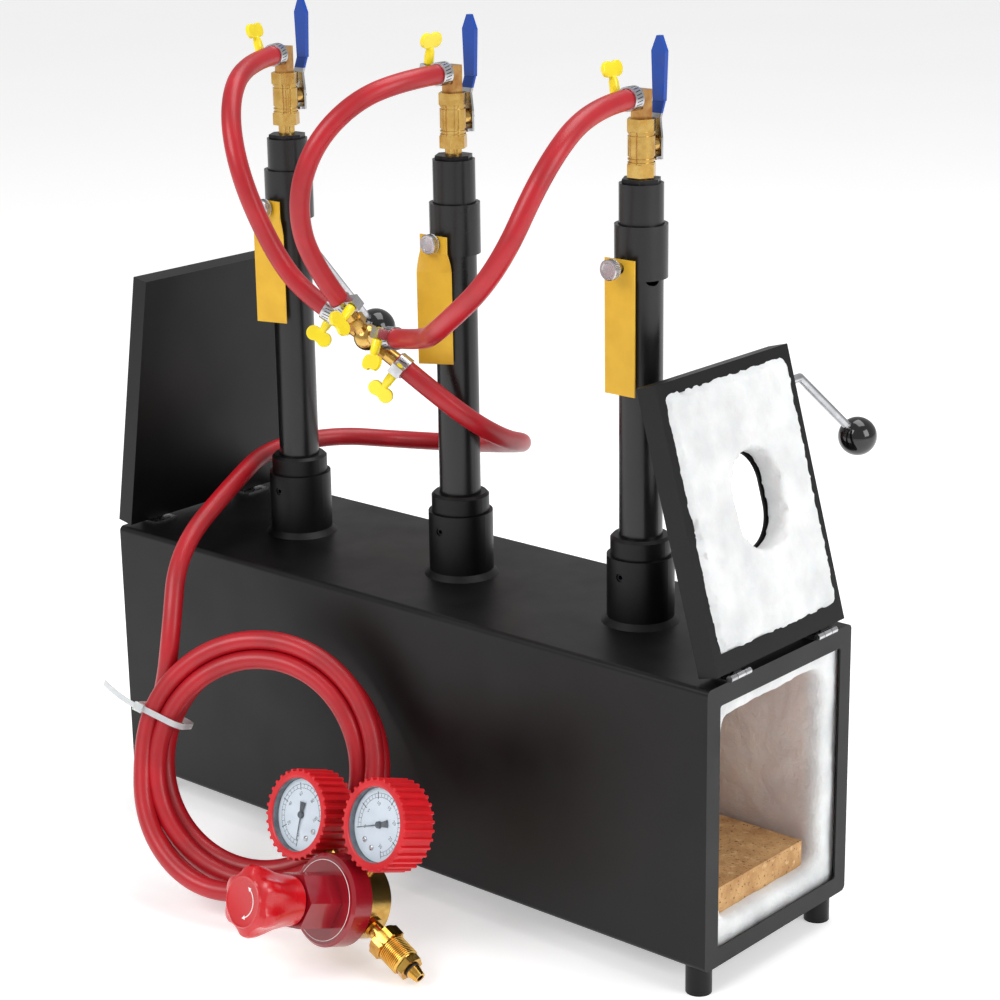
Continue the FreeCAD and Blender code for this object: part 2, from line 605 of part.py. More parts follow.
TAG_TURNS = {1: 15.0, 2: 30.0, 3: 0.0}
TAG_STEPS = 6


def tag_section(turn, height):
    """The tag's thin rectangular section at one height, turned about the tag's own middle."""
    half = value("tag_width") / 2
    thin = value("tag_thick") / 2
    corners = [Vector(-half, -thin, height), Vector(half, -thin, height),
               Vector(half, thin, height), Vector(-half, thin, height)]
    section = Part.makePolygon(corners + corners[:1])
    section.rotate(Vector(0, 0, height), UP, turn)
    return section


def tags():
    """Thin tags that hang from the choke screws: the lower part of two of them is twisted."""
    for number in REAR_TO_FRONT:
        flat = value("tag_flat")
        bend = value("tag_bend")
        low = value("tag_above - tag_length")
        sections = [tag_section(0, value("tag_above")), tag_section(0, -flat)]
        for step in range(1, TAG_STEPS + 1):
            share = step / TAG_STEPS
            sections.append(tag_section(TAG_TURNS[number] * share, -flat - bend * share))
        sections.append(tag_section(TAG_TURNS[number], low))
        if TAG_TURNS[number] == 0:
            sections = [sections[0], sections[-1]]
        plate = Part.makeLoft(sections, True, True)
        hole = Part.makeCylinder(value("tag_hole") / 2, 4, Vector(0, -2, 0), ACROSS)
        plane = -value("choke_boss_end") - 1.8
        hang = (value("tag_hole") - value("screw_diameter")) / 2 - 0.1
        at = Vector(value(BURNERS[number]), plane,
                    value(f"choke_low_{number} + screw_above") - hang)
        node(shaped(f"tag_{number}", plate.cut(hole), Placement(at, Rotation())), f"tag_{number}")


# ---- hose routes ----
# Each route is the line of a hose's middle. The coil's turns lie in a plane that leans on the
# casing: COIL_RIGHT and COIL_UP span that plane, and COIL_NORMAL points away from the casing.

COIL_CENTRE = Vector(-62.2, -148.6, 101)
COIL_TILT = math.radians(20)
COIL_TURN = math.radians(25)
COIL_RIGHT = Vector(math.cos(COIL_TURN), math.sin(COIL_TURN), 0)
COIL_NORMAL = Vector(math.sin(COIL_TURN) * math.cos(COIL_TILT),
                     -math.cos(COIL_TURN) * math.cos(COIL_TILT), math.sin(COIL_TILT))
COIL_UP = COIL_NORMAL.cross(COIL_RIGHT)


def on_coil(radius, angle, forward):
    turn = math.radians(angle)
    flat = COIL_RIGHT * (radius * math.cos(turn)) + COIL_UP * (radius * math.sin(turn))
    return COIL_CENTRE + flat + COIL_NORMAL * forward


MANIFOLD = Vector(-31, -60, 405)
BRANCH_ROUTES = {
    1: [(-164, -6, 588), (-152, -52, 588), (-132, -89, 563), (-108, -104, 518), (-95, -86, 462),
        (-75, -77, 434), (-52, -68, 419)],
    2: [(0, -6, 586), (0, -44, 586), (-15, -81, 575), (-32, -106, 546), (-43, -113, 506),
        (-46, -99, 463), (-36, -74, 426)],
    3: [(165.5, -6, 582), (165.5, -50, 582), (170, -103, 552), (152, -131, 484), (89, -117, 437),
        (34, -73, 414), (-6, -65, 409)],
}
FEED_ROUTE = [(-12, -51, 389), (27, -34, 357), (42, 8, 327), (22, 74, 308), (-92, 127, 277),
              (-159, 106, 272), (-196, 68, 278), (-208, 6, 278), (-188, -49, 267),
              (-167, -127, 238), (-147, -155, 187), on_coil(95, 152, -7)]
REGULATOR = Vector(51, -182, 42)
OUTLET_FROM = Vector(0, 6, 0)
OUTLET_WAY = Vector(-0.933, -0.237, -0.268).normalize()
OUTLET_ROUTE = [on_coil(93, 173, 7), (-125, -211, 58), (-76, -212, 23), (-20, -191.5, 27)]
LEAST_BEND = 4.5


def route_wire(points, name):
    """Straight runs joined by tangent arcs, each as large as its two runs allow."""
    points = [Vector(*point) for point in points]
    edges = []
    radii = []
    start = points[0]
    for before, corner, after in zip(points, points[1:], points[2:]):
        reach = 0.45 * min((before - corner).Length, (after - corner).Length)
        back = (before - corner).normalize()
        onward = (after - corner).normalize()
        half_turn = (math.pi - back.getAngle(onward)) / 2
        radius = reach / math.tan(half_turn)
        inward = (back + onward).normalize()
        middle = corner + inward * (radius / math.cos(half_turn) - radius)
        enter = corner + back * reach
        leave = corner + onward * reach
        edges.append(Part.LineSegment(start, enter).toShape())
        edges.append(Part.Arc(enter, middle, leave).toShape())
        radii.append(radius / value("hose_diameter"))
        start = leave
    edges.append(Part.LineSegment(start, points[-1]).toShape())
    print(name, "bend radii in hose diameters:", " ".join(f"{radius:.1f}" for radius in radii))
    if min(radii) < LEAST_BEND:
        raise ValueError(f"{name} bends too sharply")
    return Part.Wire(edges)


def hose(name, points):
    wire = route_wire(points, name)
    radius = value("hose_diameter") / 2
    first = Vector(*points[0])
    section = Part.Wire(Part.Circle(first, Vector(*points[1]) - first, radius).toShape())
    tube = wire.makePipeShell([section], True, False)
    expected = math.pi * radius ** 2 * wire.Length
    print(name, f"length {wire.Length:.0f} volume ratio {tube.Volume / expected:.4f}")
    if abs(tube.Volume / expected - 1) > 0.01:
        raise ValueError(f"{name} has the wrong volume")
    node(shaped(name, tube), name)


def frame_at(origin, right, forward):
    """A placement whose x axis is right and whose y axis is forward, made square to it."""
    right = Vector(right).normalize()
    forward = Vector(forward)
    forward = (forward - right * forward.dot(right)).normalize()
    return Placement(origin, Rotation(right, forward, right.cross(forward), "XYZ"))


def regulator_frame():
    turn = Rotation(UP, -value("reg_turn")) * Rotation(ALONG, -value("reg_pitch"))
    return Placement(REGULATOR, turn)


def outlet_end():
    return regulator_frame().multVec(OUTLET_FROM + OUTLET_WAY * value("outlet_reach"))


# ---- clamps: a perforated band, its worm housing and a yellow wing key that turns the worm ----

def clamp(name, end, along, key_way, hand=1):
    """A clamp on the hose that starts at end: the key points along key_way, square to the hose."""
    along = Vector(along).normalize()
    key_way = Vector(key_way)
    key_way = (key_way - along * key_way.dot(along)).normalize()
    middle = Vector(end) + along * (value("band_start") + value("band_width") / 2)
    place = frame_at(middle, key_way.cross(along) * hand, key_way)
    ring = cylinder(f"{name}_ring", "band_diameter", "band_width", "0", "0", "-band_width / 2")
    housing = block(f"{name}_housing", "housing_thick", "housing_tall", "band_width",
                    "housing_reach", "0", "-band_width / 2")
    hose_way = cylinder(f"{name}_hose_way", "band_bore", "2 * band_width", "0", "0", "-band_width")
    worm_way = cylinder(f"{name}_worm_way", "key_bore", "2 * housing_tall", "housing_reach",
                        "-housing_tall", "0", ACROSS)
    band = without(f"{name}_band", join(f"{name}_solid", [ring, housing]), [hose_way, worm_way])
    band.Placement = place
    worm = cylinder(f"{name}_worm", "key_screw", "housing_tall + 1.5", "housing_reach",
                    "-housing_tall / 2 - 0.7", "0", ACROSS)
    shank_low = "housing_tall / 2 + 0.4"
    shank = cylinder(f"{name}_shank", "key_shank", "key_shank_length", "housing_reach", shank_low,
                     "0", ACROSS)
    wing_low = f"{shank_low} + key_shank_length - 2"
    wing = doc.addObject("Part::Box", f"{name}_wing")
    bind(wing, Length="key_wing_thick", Width="key_wing_height", Height="key_wing")
    put(wing, "housing_reach - key_wing_thick / 2", wing_low, "-key_wing / 2")
    key = join(f"{name}_key", [worm, shank, wing])
    key.Placement = place
    axis_point = place.multVec(Vector(value("housing_reach"), 0, 0))
    axis = place.Rotation.multVec(ACROSS)
    print(name, "key axis through", [round(c, 2) for c in axis_point], [round(c, 5) for c in axis])
    return band, key


KEY_LEANS = {1: 15.0, 2: -10.0, 3: 10.0}
BURNER_HAND = -1
MANIFOLD_KEYS = {1: (-0.35, -0.47, -0.81), 2: (0.1, -0.84, -0.54), 3: (0.03, -0.42, -0.91),
                 4: (-0.55, -0.24, -0.8)}
MANIFOLD_HANDS = {1: 1, 2: -1, 3: 1, 4: 1}
OUTLET_KEY = (-0.2, -0.8, 0.55)


def clamps():
    bands = []
    for number in REAR_TO_FRONT:
        start, after = (Vector(*point) for point in BRANCH_ROUTES[number][:2])
        along = after - start
        upright = Rotation(along, KEY_LEANS[number]).multVec(UP)
        band, key = clamp(f"burner_clamp_{number}", start, along, upright, BURNER_HAND)
        bands.append(band)
        node(key, f"burner_key_{number}")
    ends = {number: Vector(*route[-1]) for number, route in BRANCH_ROUTES.items()}
    ends[4] = Vector(*FEED_ROUTE[0])
    inward = {number: Vector(*route[-2]) for number, route in BRANCH_ROUTES.items()}
    inward[4] = Vector(*FEED_ROUTE[1])
    for number, end in ends.items():
        along = inward[number] - end
        band, key = clamp(f"manifold_clamp_{number}", end, along, MANIFOLD_KEYS[number],
                          MANIFOLD_HANDS[number])
        bands.append(band)
        node(key, f"manifold_key_{number}")
    band, key = clamp("outlet_clamp", outlet_end(), Vector(*OUTLET_ROUTE[-1]) - outlet_end(),
                      OUTLET_KEY)
    bands.append(band)
    node(key, "outlet_key")
    node(group("hose_clamp_bands", bands), "hose_clamp_bands")


def manifold():
    ends = [Vector(*route[-1]) for route in BRANCH_ROUTES.values()] + [Vector(*FEED_ROUTE[0])]
    solids = [sphere("manifold_hub", "manifold_hub")]
    ways = []
    for number, end in enumerate(ends, start=1):
        way = end - MANIFOLD
        reach = way.Length
        flat = cylinder(f"manifold_arm_{number}", "manifold_arm", str(reach), direction=way)
        solids.append(flat)
        low = way * (0.45 * value("manifold_reach") / reach)
        solids.append(hexagon(f"manifold_hex_{number}", "manifold_hex", "0.25 * manifold_reach",
                              str(low.x), str(low.y), str(low.z), way))
        ways.append(cylinder(f"manifold_way_{number}", "manifold_arm / 2", str(reach + 1),
                             direction=way))
    cross = without("manifold", join("manifold_solid", solids), ways)
    cross.Placement = Placement(MANIFOLD, Rotation())
    node(cross, "manifold")


def hoses():
    for number in REAR_TO_FRONT:
        hose(f"branch_hose_{number}", BRANCH_ROUTES[number])
    hose("feed_hose", FEED_ROUTE)
    hose("outlet_hose", OUTLET_ROUTE + [tuple(outlet_end())])
    outer = cylinder("coil_outer", "2 * coil_outer", "coil_thick", "0", "0", "-coil_thick / 2")
    inner = cylinder("coil_inner", "2 * coil_inner", "coil_thick", "0", "0", "-coil_thick / 2")
    coil = without("hose_coil", outer, [inner])
    place = Placement(COIL_CENTRE, Rotation(COIL_RIGHT, COIL_UP, COIL_NORMAL, "XYZ"))
    coil.Placement = place
    node(coil, "hose_coil")
    loop = block("tie_loop", "coil_outer - coil_inner + 2 * tie_thick + 0.6", "tie_width",
                 "coil_thick + 2 * tie_thick + 0.6", "(coil_outer + coil_inner) / 2", "0",
                 "-coil_thick / 2 - tie_thick - 0.3")
    hollow = block("tie_hollow", "coil_outer - coil_inner + 0.6", "2 * tie_width",
                   "coil_thick + 0.6", "(coil_outer + coil_inner) / 2", "0",
                   "-coil_thick / 2 - 0.3")
    head = block("tie_head", "2 * tie_thick + tie_width", "1.3 * tie_width", "tie_width",
                 "coil_outer - tie_width", "0", "coil_thick / 2 + 0.5")
    tail = block("tie_tail", "3 * tie_width", "0.8 * tie_width", "tie_thick",
                 "coil_outer + tie_width", "0", "coil_thick / 2 + tie_width / 2")
    tie = without("tie", join("tie_solid", [loop, head, tail]), [hollow])
    tie.Placement = place.multiply(Placement(Vector(), Rotation(UP, 160)))
    node(tie, "cable_tie")


# ---- doors ----

class Door:
    """Sizes of one door, drawn closed, as expressions. side is 1 at the front and -1 at the rear."""

    def __init__(self, name, side):
        self.name = name
        self.side = side
        self.rim = f"{side} * (casing_length / 2 + door_gap)"
        self.top = f"{ROOF} - {name}_drop"
        self.low = f"{self.top} - {name}_height"
        self.axis_x = f"{side} * (casing_length / 2 + hinge_out)"
        self.axis_z = f"{ROOF} + hinge_up"

    def out(self, distance):
        """The x of a plane this far outwards of the rim."""
        return f"{self.rim} + {self.side} * ({distance})"

    def opened(self):
        """The turn about the hinge's axis from closed to folded back over the roof."""
        axis = Vector(value(self.axis_x), 0, value(self.axis_z))
        turn = Rotation(Vector(0, -self.side, 0), value(f"{self.name}_open"))
        return Placement(axis, Rotation()).multiply(Placement(Vector(), turn)).multiply(
            Placement(-axis, Rotation()))


def door_pan(door, with_port):
    name = door.name
    body = doc.addObject("PartDesign::Body", f"{name}_pan")
    outward = door.side < 0
    half = f"{name}_width / 2"
    section = sketch_on(body, f"{name}_pan_section", "YZ_Plane", door.rim)
    rectangle(section, f"-{half}", half, door.low, door.top)
    pad(body, section, f"{name}_depth", back=outward)
    inside = sketch_on(body, f"{name}_pan_inside", "YZ_Plane", door.out("door_sheet"))
    rectangle(inside, f"-({half} - door_sheet)", f"{half} - door_sheet",
              f"{door.low} + door_sheet", f"{door.top} - door_sheet")
    pocket(body, inside, f"{name}_depth - 2 * door_sheet", back=not outward)
    lip = sketch_on(body, f"{name}_pan_lip", "YZ_Plane", door.out("-door_sheet"))
    rectangle(lip, f"-{name}_wool_width / 2", f"{name}_wool_width / 2",
              f"{door.low} + {name}_wool_low", f"{door.top} - {name}_wool_high")
    pocket(body, lip, "3 * door_sheet", back=not outward)
    if with_port:
        port = sketch_on(body, f"{name}_pan_port", "YZ_Plane",
                         door.out(f"{name}_depth - 2 * door_sheet"))
        stadium(port, "port_width", "port_height", "port_across", f"{door.top} - port_below")
        pocket(body, port, "3 * door_sheet", back=not outward)
    return body


def door_leaf(door, across, number):
    """The moving leaf of one hinge and its middle knuckle."""
    name = f"{door.name}_leaf_{number}"
    reach = f"{door.axis_x} + {door.side} * (1.1 + door_leaf_reach / 2 + 0.5)"
    plate = block(f"{name}_plate", "door_leaf_reach - 1", "knuckle_length", "leaf_sheet", reach,
                  across, door.top)
    web = block(f"{name}_web", "leaf_sheet", "knuckle_middle", f"{door.axis_z} - ({door.top})",
                f"{door.axis_x} + {door.side} * (knuckle_bore / 2 + leaf_sheet / 2)", across, door.top)
    foot = block(f"{name}_foot", "2 * leaf_sheet", "knuckle_middle", "leaf_sheet",
                 f"{door.axis_x} + {door.side} * (knuckle_bore / 2 + leaf_sheet)", across, door.top)
    knuckle = cylinder(f"{name}_knuckle", "2 * hinge_radius", "knuckle_middle", door.axis_x,
                       f"{across} - knuckle_middle / 2", door.axis_z, ACROSS)
    bore = cylinder(f"{name}_bore", "knuckle_bore", "2 * knuckle_middle", door.axis_x,
                    f"{across} - knuckle_middle", door.axis_z, ACROSS)
    return [plate, web, foot, knuckle], bore


def fixed_leaf(door, across, number):
    """The leaf on the roof with the two outer knuckles, and the hinge pin."""
    name = f"{door.name}_fixed_{number}"
    parts = []
    near = f"{door.side} * (casing_length / 2 - 1.8)"
    centre = f"{near} - {door.side} * leaf_reach / 2"
    parts.append(block(f"{name}_plate", "leaf_reach", "knuckle_length", "leaf_sheet", centre, across,
                       ROOF))
    outer = "(knuckle_length - knuckle_middle) / 2 - knuckle_gap"
    for end in (-1, 1):
        middle = f"{across} + {end} * (knuckle_length / 2 - ({outer}) / 2)"
        parts.append(cylinder(f"{name}_knuckle_{end + 2}", "2 * hinge_radius", outer, door.axis_x,
                              f"{middle} - ({outer}) / 2", door.axis_z, ACROSS))
        parts.append(block(f"{name}_arm_{end + 2}", "3.2", outer, "leaf_sheet",
                           f"{door.side} * (casing_length / 2 - 0.4)", middle, ROOF))
    parts.append(cylinder(f"{name}_pin", "pin_diameter", "knuckle_length", door.axis_x,
                          f"{across} - knuckle_length / 2", door.axis_z, ACROSS))
    return join(name, parts)


def door_wool(door, with_port):
    name = door.name
    body = doc.addObject("PartDesign::Body", f"{name}_wool")
    outward = door.side < 0
    half = f"{name}_width / 2 - door_sheet - wool_gap"
    fill = sketch_on(body, f"{name}_wool_fill", "YZ_Plane", door.out("door_sheet + wool_gap"))
    rectangle(fill, f"-({half})", half, f"{door.low} + door_sheet + wool_gap",
              f"{door.top} - door_sheet - wool_gap")
    pad(body, fill, f"{name}_depth - 2 * door_sheet - 2 * wool_gap", back=outward)
    proud = sketch_on(body, f"{name}_wool_proud", "YZ_Plane", door.out("-wool_proud"))
    face = f"{name}_wool_width / 2 - wool_gap"
    rectangle(proud, f"-({face})", face, f"{door.low} + {name}_wool_low + wool_gap",
              f"{door.top} - {name}_wool_high - wool_gap")
    pad(body, proud, "wool_proud + 2 * door_sheet", back=outward)
    if with_port:
        port = sketch_on(body, f"{name}_wool_port", "YZ_Plane", door.out("-2 * wool_proud"))
        stadium(port, "port_width", "port_height", "port_across", f"{door.top} - port_below")
        pocket(body, port, f"2 * {name}_depth + 2 * wool_proud", back=not outward)
    body.Placement = door.opened()
    node(body, f"{name}_door_lining")


def door_handle(door):
    name = door.name
    x = door.out(f"{name}_depth / 2")
    start = f"{name}_width / 2"
    height = f"{door.top} - {name}_rod_at"
    slope = Vector(0, 1, 1)
    stub = cylinder(f"{name}_rod_stub", "rod_diameter", f"{name}_rod_out", x, start, height, ACROSS)
    bend = sphere(f"{name}_rod_bend", "rod_diameter", x, f"{start} + {name}_rod_out", height)
    corner = f"{start} + {name}_rod_out"
    rod = cylinder(f"{name}_rod_slope", "rod_diameter", f"{name}_rod_reach", x, corner, height, slope)
    ball_y = f"{corner} + {name}_rod_reach / sqrt(2)"
    ball_z = f"{height} + {name}_rod_reach / sqrt(2)"
    ball = sphere(f"{name}_ball", f"{name}_ball", x, ball_y, ball_z)
    socket = cylinder(f"{name}_ball_hole", "rod_diameter", f"{name}_rod_reach", x, corner, height,
                      slope)
    knob = without(f"{name}_knob", ball, [socket])
    handle = group(f"{name}_handle", [join(f"{name}_rod", [stub, bend, rod]), knob])
    handle.Placement = door.opened()
    node(handle, f"{name}_handle")


def doors():
    fixed = []
    for door, with_port in ((Door("front", 1), True), (Door("rear", -1), False)):
        solids = [door_pan(door, with_port)]
        bores = []
        for number, across in enumerate(("-hinge_across", "hinge_across"), start=1):
            leaf, bore = door_leaf(door, across, number)
            solids += leaf
            bores.append(bore)
            fixed.append(fixed_leaf(door, across, number))
        pan = without(f"{door.name}_door_pan", join(f"{door.name}_door_solid", solids), bores)
        pan.Placement = door.opened()
        node(pan, f"{door.name}_door_pan")
        door_wool(door, with_port)
        door_handle(door)
    node(group("hinge_fixed_leaves", fixed), "hinge_fixed_leaves")


# ---- regulator ----

def in_regulator(thing, name):
    thing.Placement = regulator_frame().multiply(thing.Placement)
    node(thing, name)


def gauge_angles():
    """Each gauge's direction from the regulator's middle, clockwise from up."""
    return [value("gauge_roll") - value("gauge_spread"), value("gauge_roll") + value("gauge_spread")]


def gauge_place(angle):
    """Frame of a gauge: its z axis points away from the regulator's middle."""
    turn = Rotation(ACROSS, angle)
    return Placement(turn.multVec(Vector(0, 0, value("gauge_circle"))), turn)


INLET_WAY = Vector(value("inlet_x"), value("inlet_y"), value("inlet_z")).normalize()


def along_inlet(start):
    point = INLET_WAY * value(start)
    return [str(point.x), str(point.y), str(point.z)]


def regulator_body():
    depth = "reg_body_back + reg_bonnet_back"
    disc = cylinder("reg_disc", "reg_body", depth, "0", "-reg_bonnet_back", "0", ACROSS)
    back = cone("reg_back", "reg_body - 14", "reg_body / 2", "6", "0", "reg_body_back", "0", ACROSS)
    inlet = cylinder("reg_inlet", "inlet_stem + 4", "30 - inlet_root", *along_inlet("inlet_root"),
                     INLET_WAY)
    outlet_start = [str(c) for c in OUTLET_FROM]
    outlet = cylinder("reg_outlet", "elbow_barb + 1", "outlet_reach", *outlet_start, OUTLET_WAY)
    hex_at = [str(c) for c in OUTLET_FROM + OUTLET_WAY * 27]
    outlet_nut = hexagon("reg_outlet_nut", "outlet_hex - 5", "7", *hex_at, OUTLET_WAY)
    solids = [disc, back, inlet, outlet, outlet_nut]
    for number, angle in enumerate(gauge_angles(), start=1):
        way = Rotation(ACROSS, angle).multVec(UP)
        core = way * value("reg_core")
        solids.append(cylinder(f"reg_gauge_stem_{number}", "gauge_stem",
                               "gauge_circle - gauge_case / 2 - 0.1 - reg_core", str(core.x), "stem_back",
                               str(core.z), way))
    in_regulator(join("regulator_body", solids), "regulator_body")


def regulator_bonnet():
    front = Vector(0, -1, 0)
    disc = cylinder("bonnet_disc", "reg_bonnet", "reg_bonnet_front - reg_bonnet_back - 2", "0",
                    "-reg_bonnet_back", "0", front)
    rim = cone("bonnet_rim", "reg_bonnet", "reg_bonnet - 4", "2", "0", "-(reg_bonnet_front - 2)",
               "0", front)
    neck = hexagon("bonnet_hex", "reg_hex", "reg_hex_end - reg_bonnet_front", "0",
                   "-reg_bonnet_front", "0", front, 12.0)
    cavity = cylinder("bonnet_cavity", "reg_cavity", "reg_cavity_end - reg_bonnet_back", "0",
                      "-reg_bonnet_back", "0", front)
    bore = cylinder("bonnet_bore", "knob_screw + 0.1", "reg_hex_end", "0", "-reg_bonnet_back", "0",
                    front)
    relief = cylinder("bonnet_relief", "outlet_relief", "outlet_reach",
                      *[str(c) for c in OUTLET_FROM], OUTLET_WAY)
    solid = join("bonnet_solid", [disc, rim, neck])
    bonnet = without("regulator_bonnet", solid, [cavity, bore, relief])
    in_regulator(bonnet, "regulator_bonnet")


def adjusting_knob():
    front = Vector(0, -1, 0)
    length = "knob_front - knob_rear"
    skirt = cone("knob_skirt", "knob_rear_diameter", "knob_waist", f"0.5 * ({length})", "0",
                 "-knob_rear", "0", front)
    drum = cylinder("knob_drum", "knob_waist", f"0.4 * ({length})", "0",
                    f"-(knob_rear + 0.5 * ({length}))", "0", front)
    cap = cylinder("knob_cap", "knob_face", f"0.1 * ({length})", "0",
                   f"-(knob_rear + 0.9 * ({length}))", "0", front)
    screw = cylinder("knob_screw", "knob_screw", "knob_rear - reg_cavity_end + 4", "0",
                     "-(reg_cavity_end - 4)", "0", front)
    solids = [skirt, drum, cap, screw]
    lobes = int(value("knob_lobes"))
    for number in range(lobes):
        angle = 360.0 * number / lobes + value("gauge_roll")
        radius = "(knob_lobe / 2 - 6)"
        solids.append(cone(f"knob_lobe_{number + 1}", "4", "12", f"0.32 * ({length})",
                           f"{radius} * sin({angle})", f"-(knob_rear + 0.5 * ({length}))",
                           f"{radius} * cos({angle})", front))
        solids.append(cylinder(f"knob_lobe_end_{number + 1}", "12", f"0.08 * ({length})",
                               f"{radius} * sin({angle})", f"-(knob_rear + 0.82 * ({length}))",
                               f"{radius} * cos({angle})", front))
    in_regulator(join("adjusting_knob", solids), "adjusting_knob")


def adjusting_spring():
    wire = value("spring_wire")
    radius = (value("spring_diameter") - wire) / 2
    length = value("reg_cavity_end - reg_bonnet_back") - 4 - wire - 1
    pitch = length / value("spring_turns")
    helix = Part.makeHelix(pitch, length, radius)
    section = Part.Wire(Part.Circle(Vector(radius, 0, 0), Vector(0, 1, 0), wire / 2).toShape())
    coil = Part.Wire(helix.Edges).makePipeShell([section], True, True)
    low = Vector(0, -(value("reg_bonnet_back") + wire / 2 + 0.3), 0)
    place = Placement(low, Rotation(UP, Vector(0, -1, 0)))
    node(shaped("adjusting_spring", coil, regulator_frame().multiply(place)), "adjusting_spring")


def inlet():
    stem = cylinder("nipple_stem", "inlet_stem", "inlet_nose_end - 30", *along_inlet("30"),
                    INLET_WAY)
    nose = hexagon("nipple_nose", "inlet_nose", "inlet_nose_end - inlet_thread_end - 0.4",
                   *along_inlet("inlet_thread_end + 0.4"), INLET_WAY)
    groove = cylinder("nipple_groove", "inlet_groove", "inlet_groove_end - inlet_nose_end",
                      *along_inlet("inlet_nose_end"), INLET_WAY)
    seal = doc.addObject("Part::Torus", "nipple_seal")
    bind(seal, Radius1="inlet_groove / 2 + 0.6", Radius2="0.75")
    middle = INLET_WAY * value("(inlet_nose_end + inlet_groove_end) / 2")
    seal.Placement = Placement(middle, Rotation(UP, INLET_WAY))
    tip = cone("nipple_tip", "inlet_tip", "inlet_tip - 3", "inlet_end - inlet_groove_end",
               *along_inlet("inlet_groove_end"), INLET_WAY)
    bore = cylinder("nipple_bore", "inlet_tip - 6", "inlet_end", *along_inlet("31"), INLET_WAY)
    solid = join("nipple_solid", [stem, nose, groove, seal, tip])
    in_regulator(without("inlet_nipple", solid, [bore]), "inlet_nipple")
    flats = hexagon("nut_flats", "inlet_hex", "inlet_hex_end - inlet_nut_from",
                    *along_inlet("inlet_nut_from"), INLET_WAY)
    thread = cylinder("nut_thread", "inlet_thread", "inlet_thread_end - inlet_hex_end",
                      *along_inlet("inlet_hex_end"), INLET_WAY)
    through = cylinder("nut_bore", "inlet_bore", "inlet_end", *along_inlet("30"), INLET_WAY)
    in_regulator(without("inlet_nut", join("nut_solid", [flats, thread]), [through]), "inlet_nut")


def boot_shape():
    """The ribbed rubber sleeve of a gauge, about y, with a way in for the stem at its foot."""
    ribs = int(value("boot_ribs"))
    root = value("gauge_boot") / 2
    tip = root + value("boot_rib") - 0.4
    quarter = math.pi / ribs / 2
    corners = []
    for rib in range(ribs):
        middle = 2 * math.pi * rib / ribs
        for angle, radius in ((-quarter, root), (-quarter / 2, tip), (quarter / 2, tip),
                              (quarter, root)):
            turned = middle + angle
            corners.append(Vector(radius * math.sin(turned), 0, radius * math.cos(turned)))
    face = Part.Face(Part.makePolygon(corners + corners[:1]))
    depth = value("gauge_front + gauge_back")
    sleeve = face.extrude(Vector(0, depth, 0))
    sleeve.translate(Vector(0, -value("gauge_front"), 0))
    start = Vector(0, -2 * depth, 0)
    hollow = Part.makeCylinder(value("gauge_case") / 2 + 0.1, 4 * depth, start, ACROSS)
    stem_way = Part.makeCylinder(value("gauge_stem") / 2 + 0.4, 2 * root,
                                 Vector(0, value("stem_back"), 0), -UP)
    return sleeve.cut(hollow).cut(stem_way)


def gauges():
    cases = []
    boots = []
    lenses = []
    front = Vector(0, -1, 0)
    for number, angle in enumerate(gauge_angles(), start=1):
        place = gauge_place(angle)
        drum = cylinder(f"gauge_drum_{number}", "gauge_case", "gauge_front + gauge_back - 3", "0",
                        "gauge_back - 2", "0", front)
        well = cylinder(f"gauge_well_{number}", "gauge_dial", "dial_depth + 1", "0",
                        "-(gauge_front - dial_depth)", "0", front)
        pivot = cylinder(f"gauge_pivot_{number}", "1.1", "4", "0",
                         "-(gauge_front - dial_depth) + 3", "0", front)
        case = without(f"gauge_case_{number}", drum, [well, pivot])
        case.Placement = place
        cases.append(case)
        boots.append(shaped(f"gauge_boot_{number}", boot_shape(), place))
        glass = cylinder(f"gauge_glass_{number}", "gauge_dial - 0.2", "lens_thick", "0",
                         "-(gauge_front - 2.8)", "0", front)
        lens = group(f"gauge_lens_{number}", [glass])
        lens.Placement = place
        lenses.append(lens)
        face = "-(gauge_front - dial_depth) - 0.8"
        hub = cylinder(f"needle_hub_{number}", "5", "1", "0", face, "0", front)
        pin = cylinder(f"needle_pin_{number}", "1.0", "3", "0", f"{face} + 2.4", "0", front)
        pointer = cone(f"needle_point_{number}", "2 * needle_width", "needle_thick",
                       "needle_length", "0", f"{face} - 0.5", "0", UP)
        flatten = block(f"needle_flat_{number}", "10", "needle_thick", "3 * needle_length", "0",
                        f"{face} - 0.5", "-needle_length")
        thin = doc.addObject("Part::Common", f"needle_thin_{number}")
        thin.Base = pointer
        thin.Tool = flatten
        tail = block(f"needle_tail_{number}", "2 * needle_width", "needle_thick", "needle_tail", "0",
                     f"{face} - 0.5", "-needle_tail")
        needle = join(f"gauge_needle_{number}", [hub, pin, thin, tail])
        needle.Placement = place.multiply(Placement(Vector(), Rotation(ACROSS, 225)))
        in_regulator(needle, f"gauge_needle_{number}")
    in_regulator(group("gauge_cases", cases), "gauge_cases")
    in_regulator(group("gauge_boots", boots), "gauge_boots")
    in_regulator(group("gauge_lenses", lenses), "gauge_lenses")


def build():
    casing_shell()
    end_frames()
    feet()
    chamber_lining()
    fire_bricks()
    burner_sockets()
    burner_collars()
    mixing_tubes()
    caps_and_jets()
    valve_bodies()
    valve_levers()
    hose_elbows()
    chokes()
    tags()
    clamps()
    manifold()
    hoses()
    doors()
    regulator_body()
    regulator_bonnet()
    adjusting_knob()
    adjusting_spring()
    inlet()
    gauges()


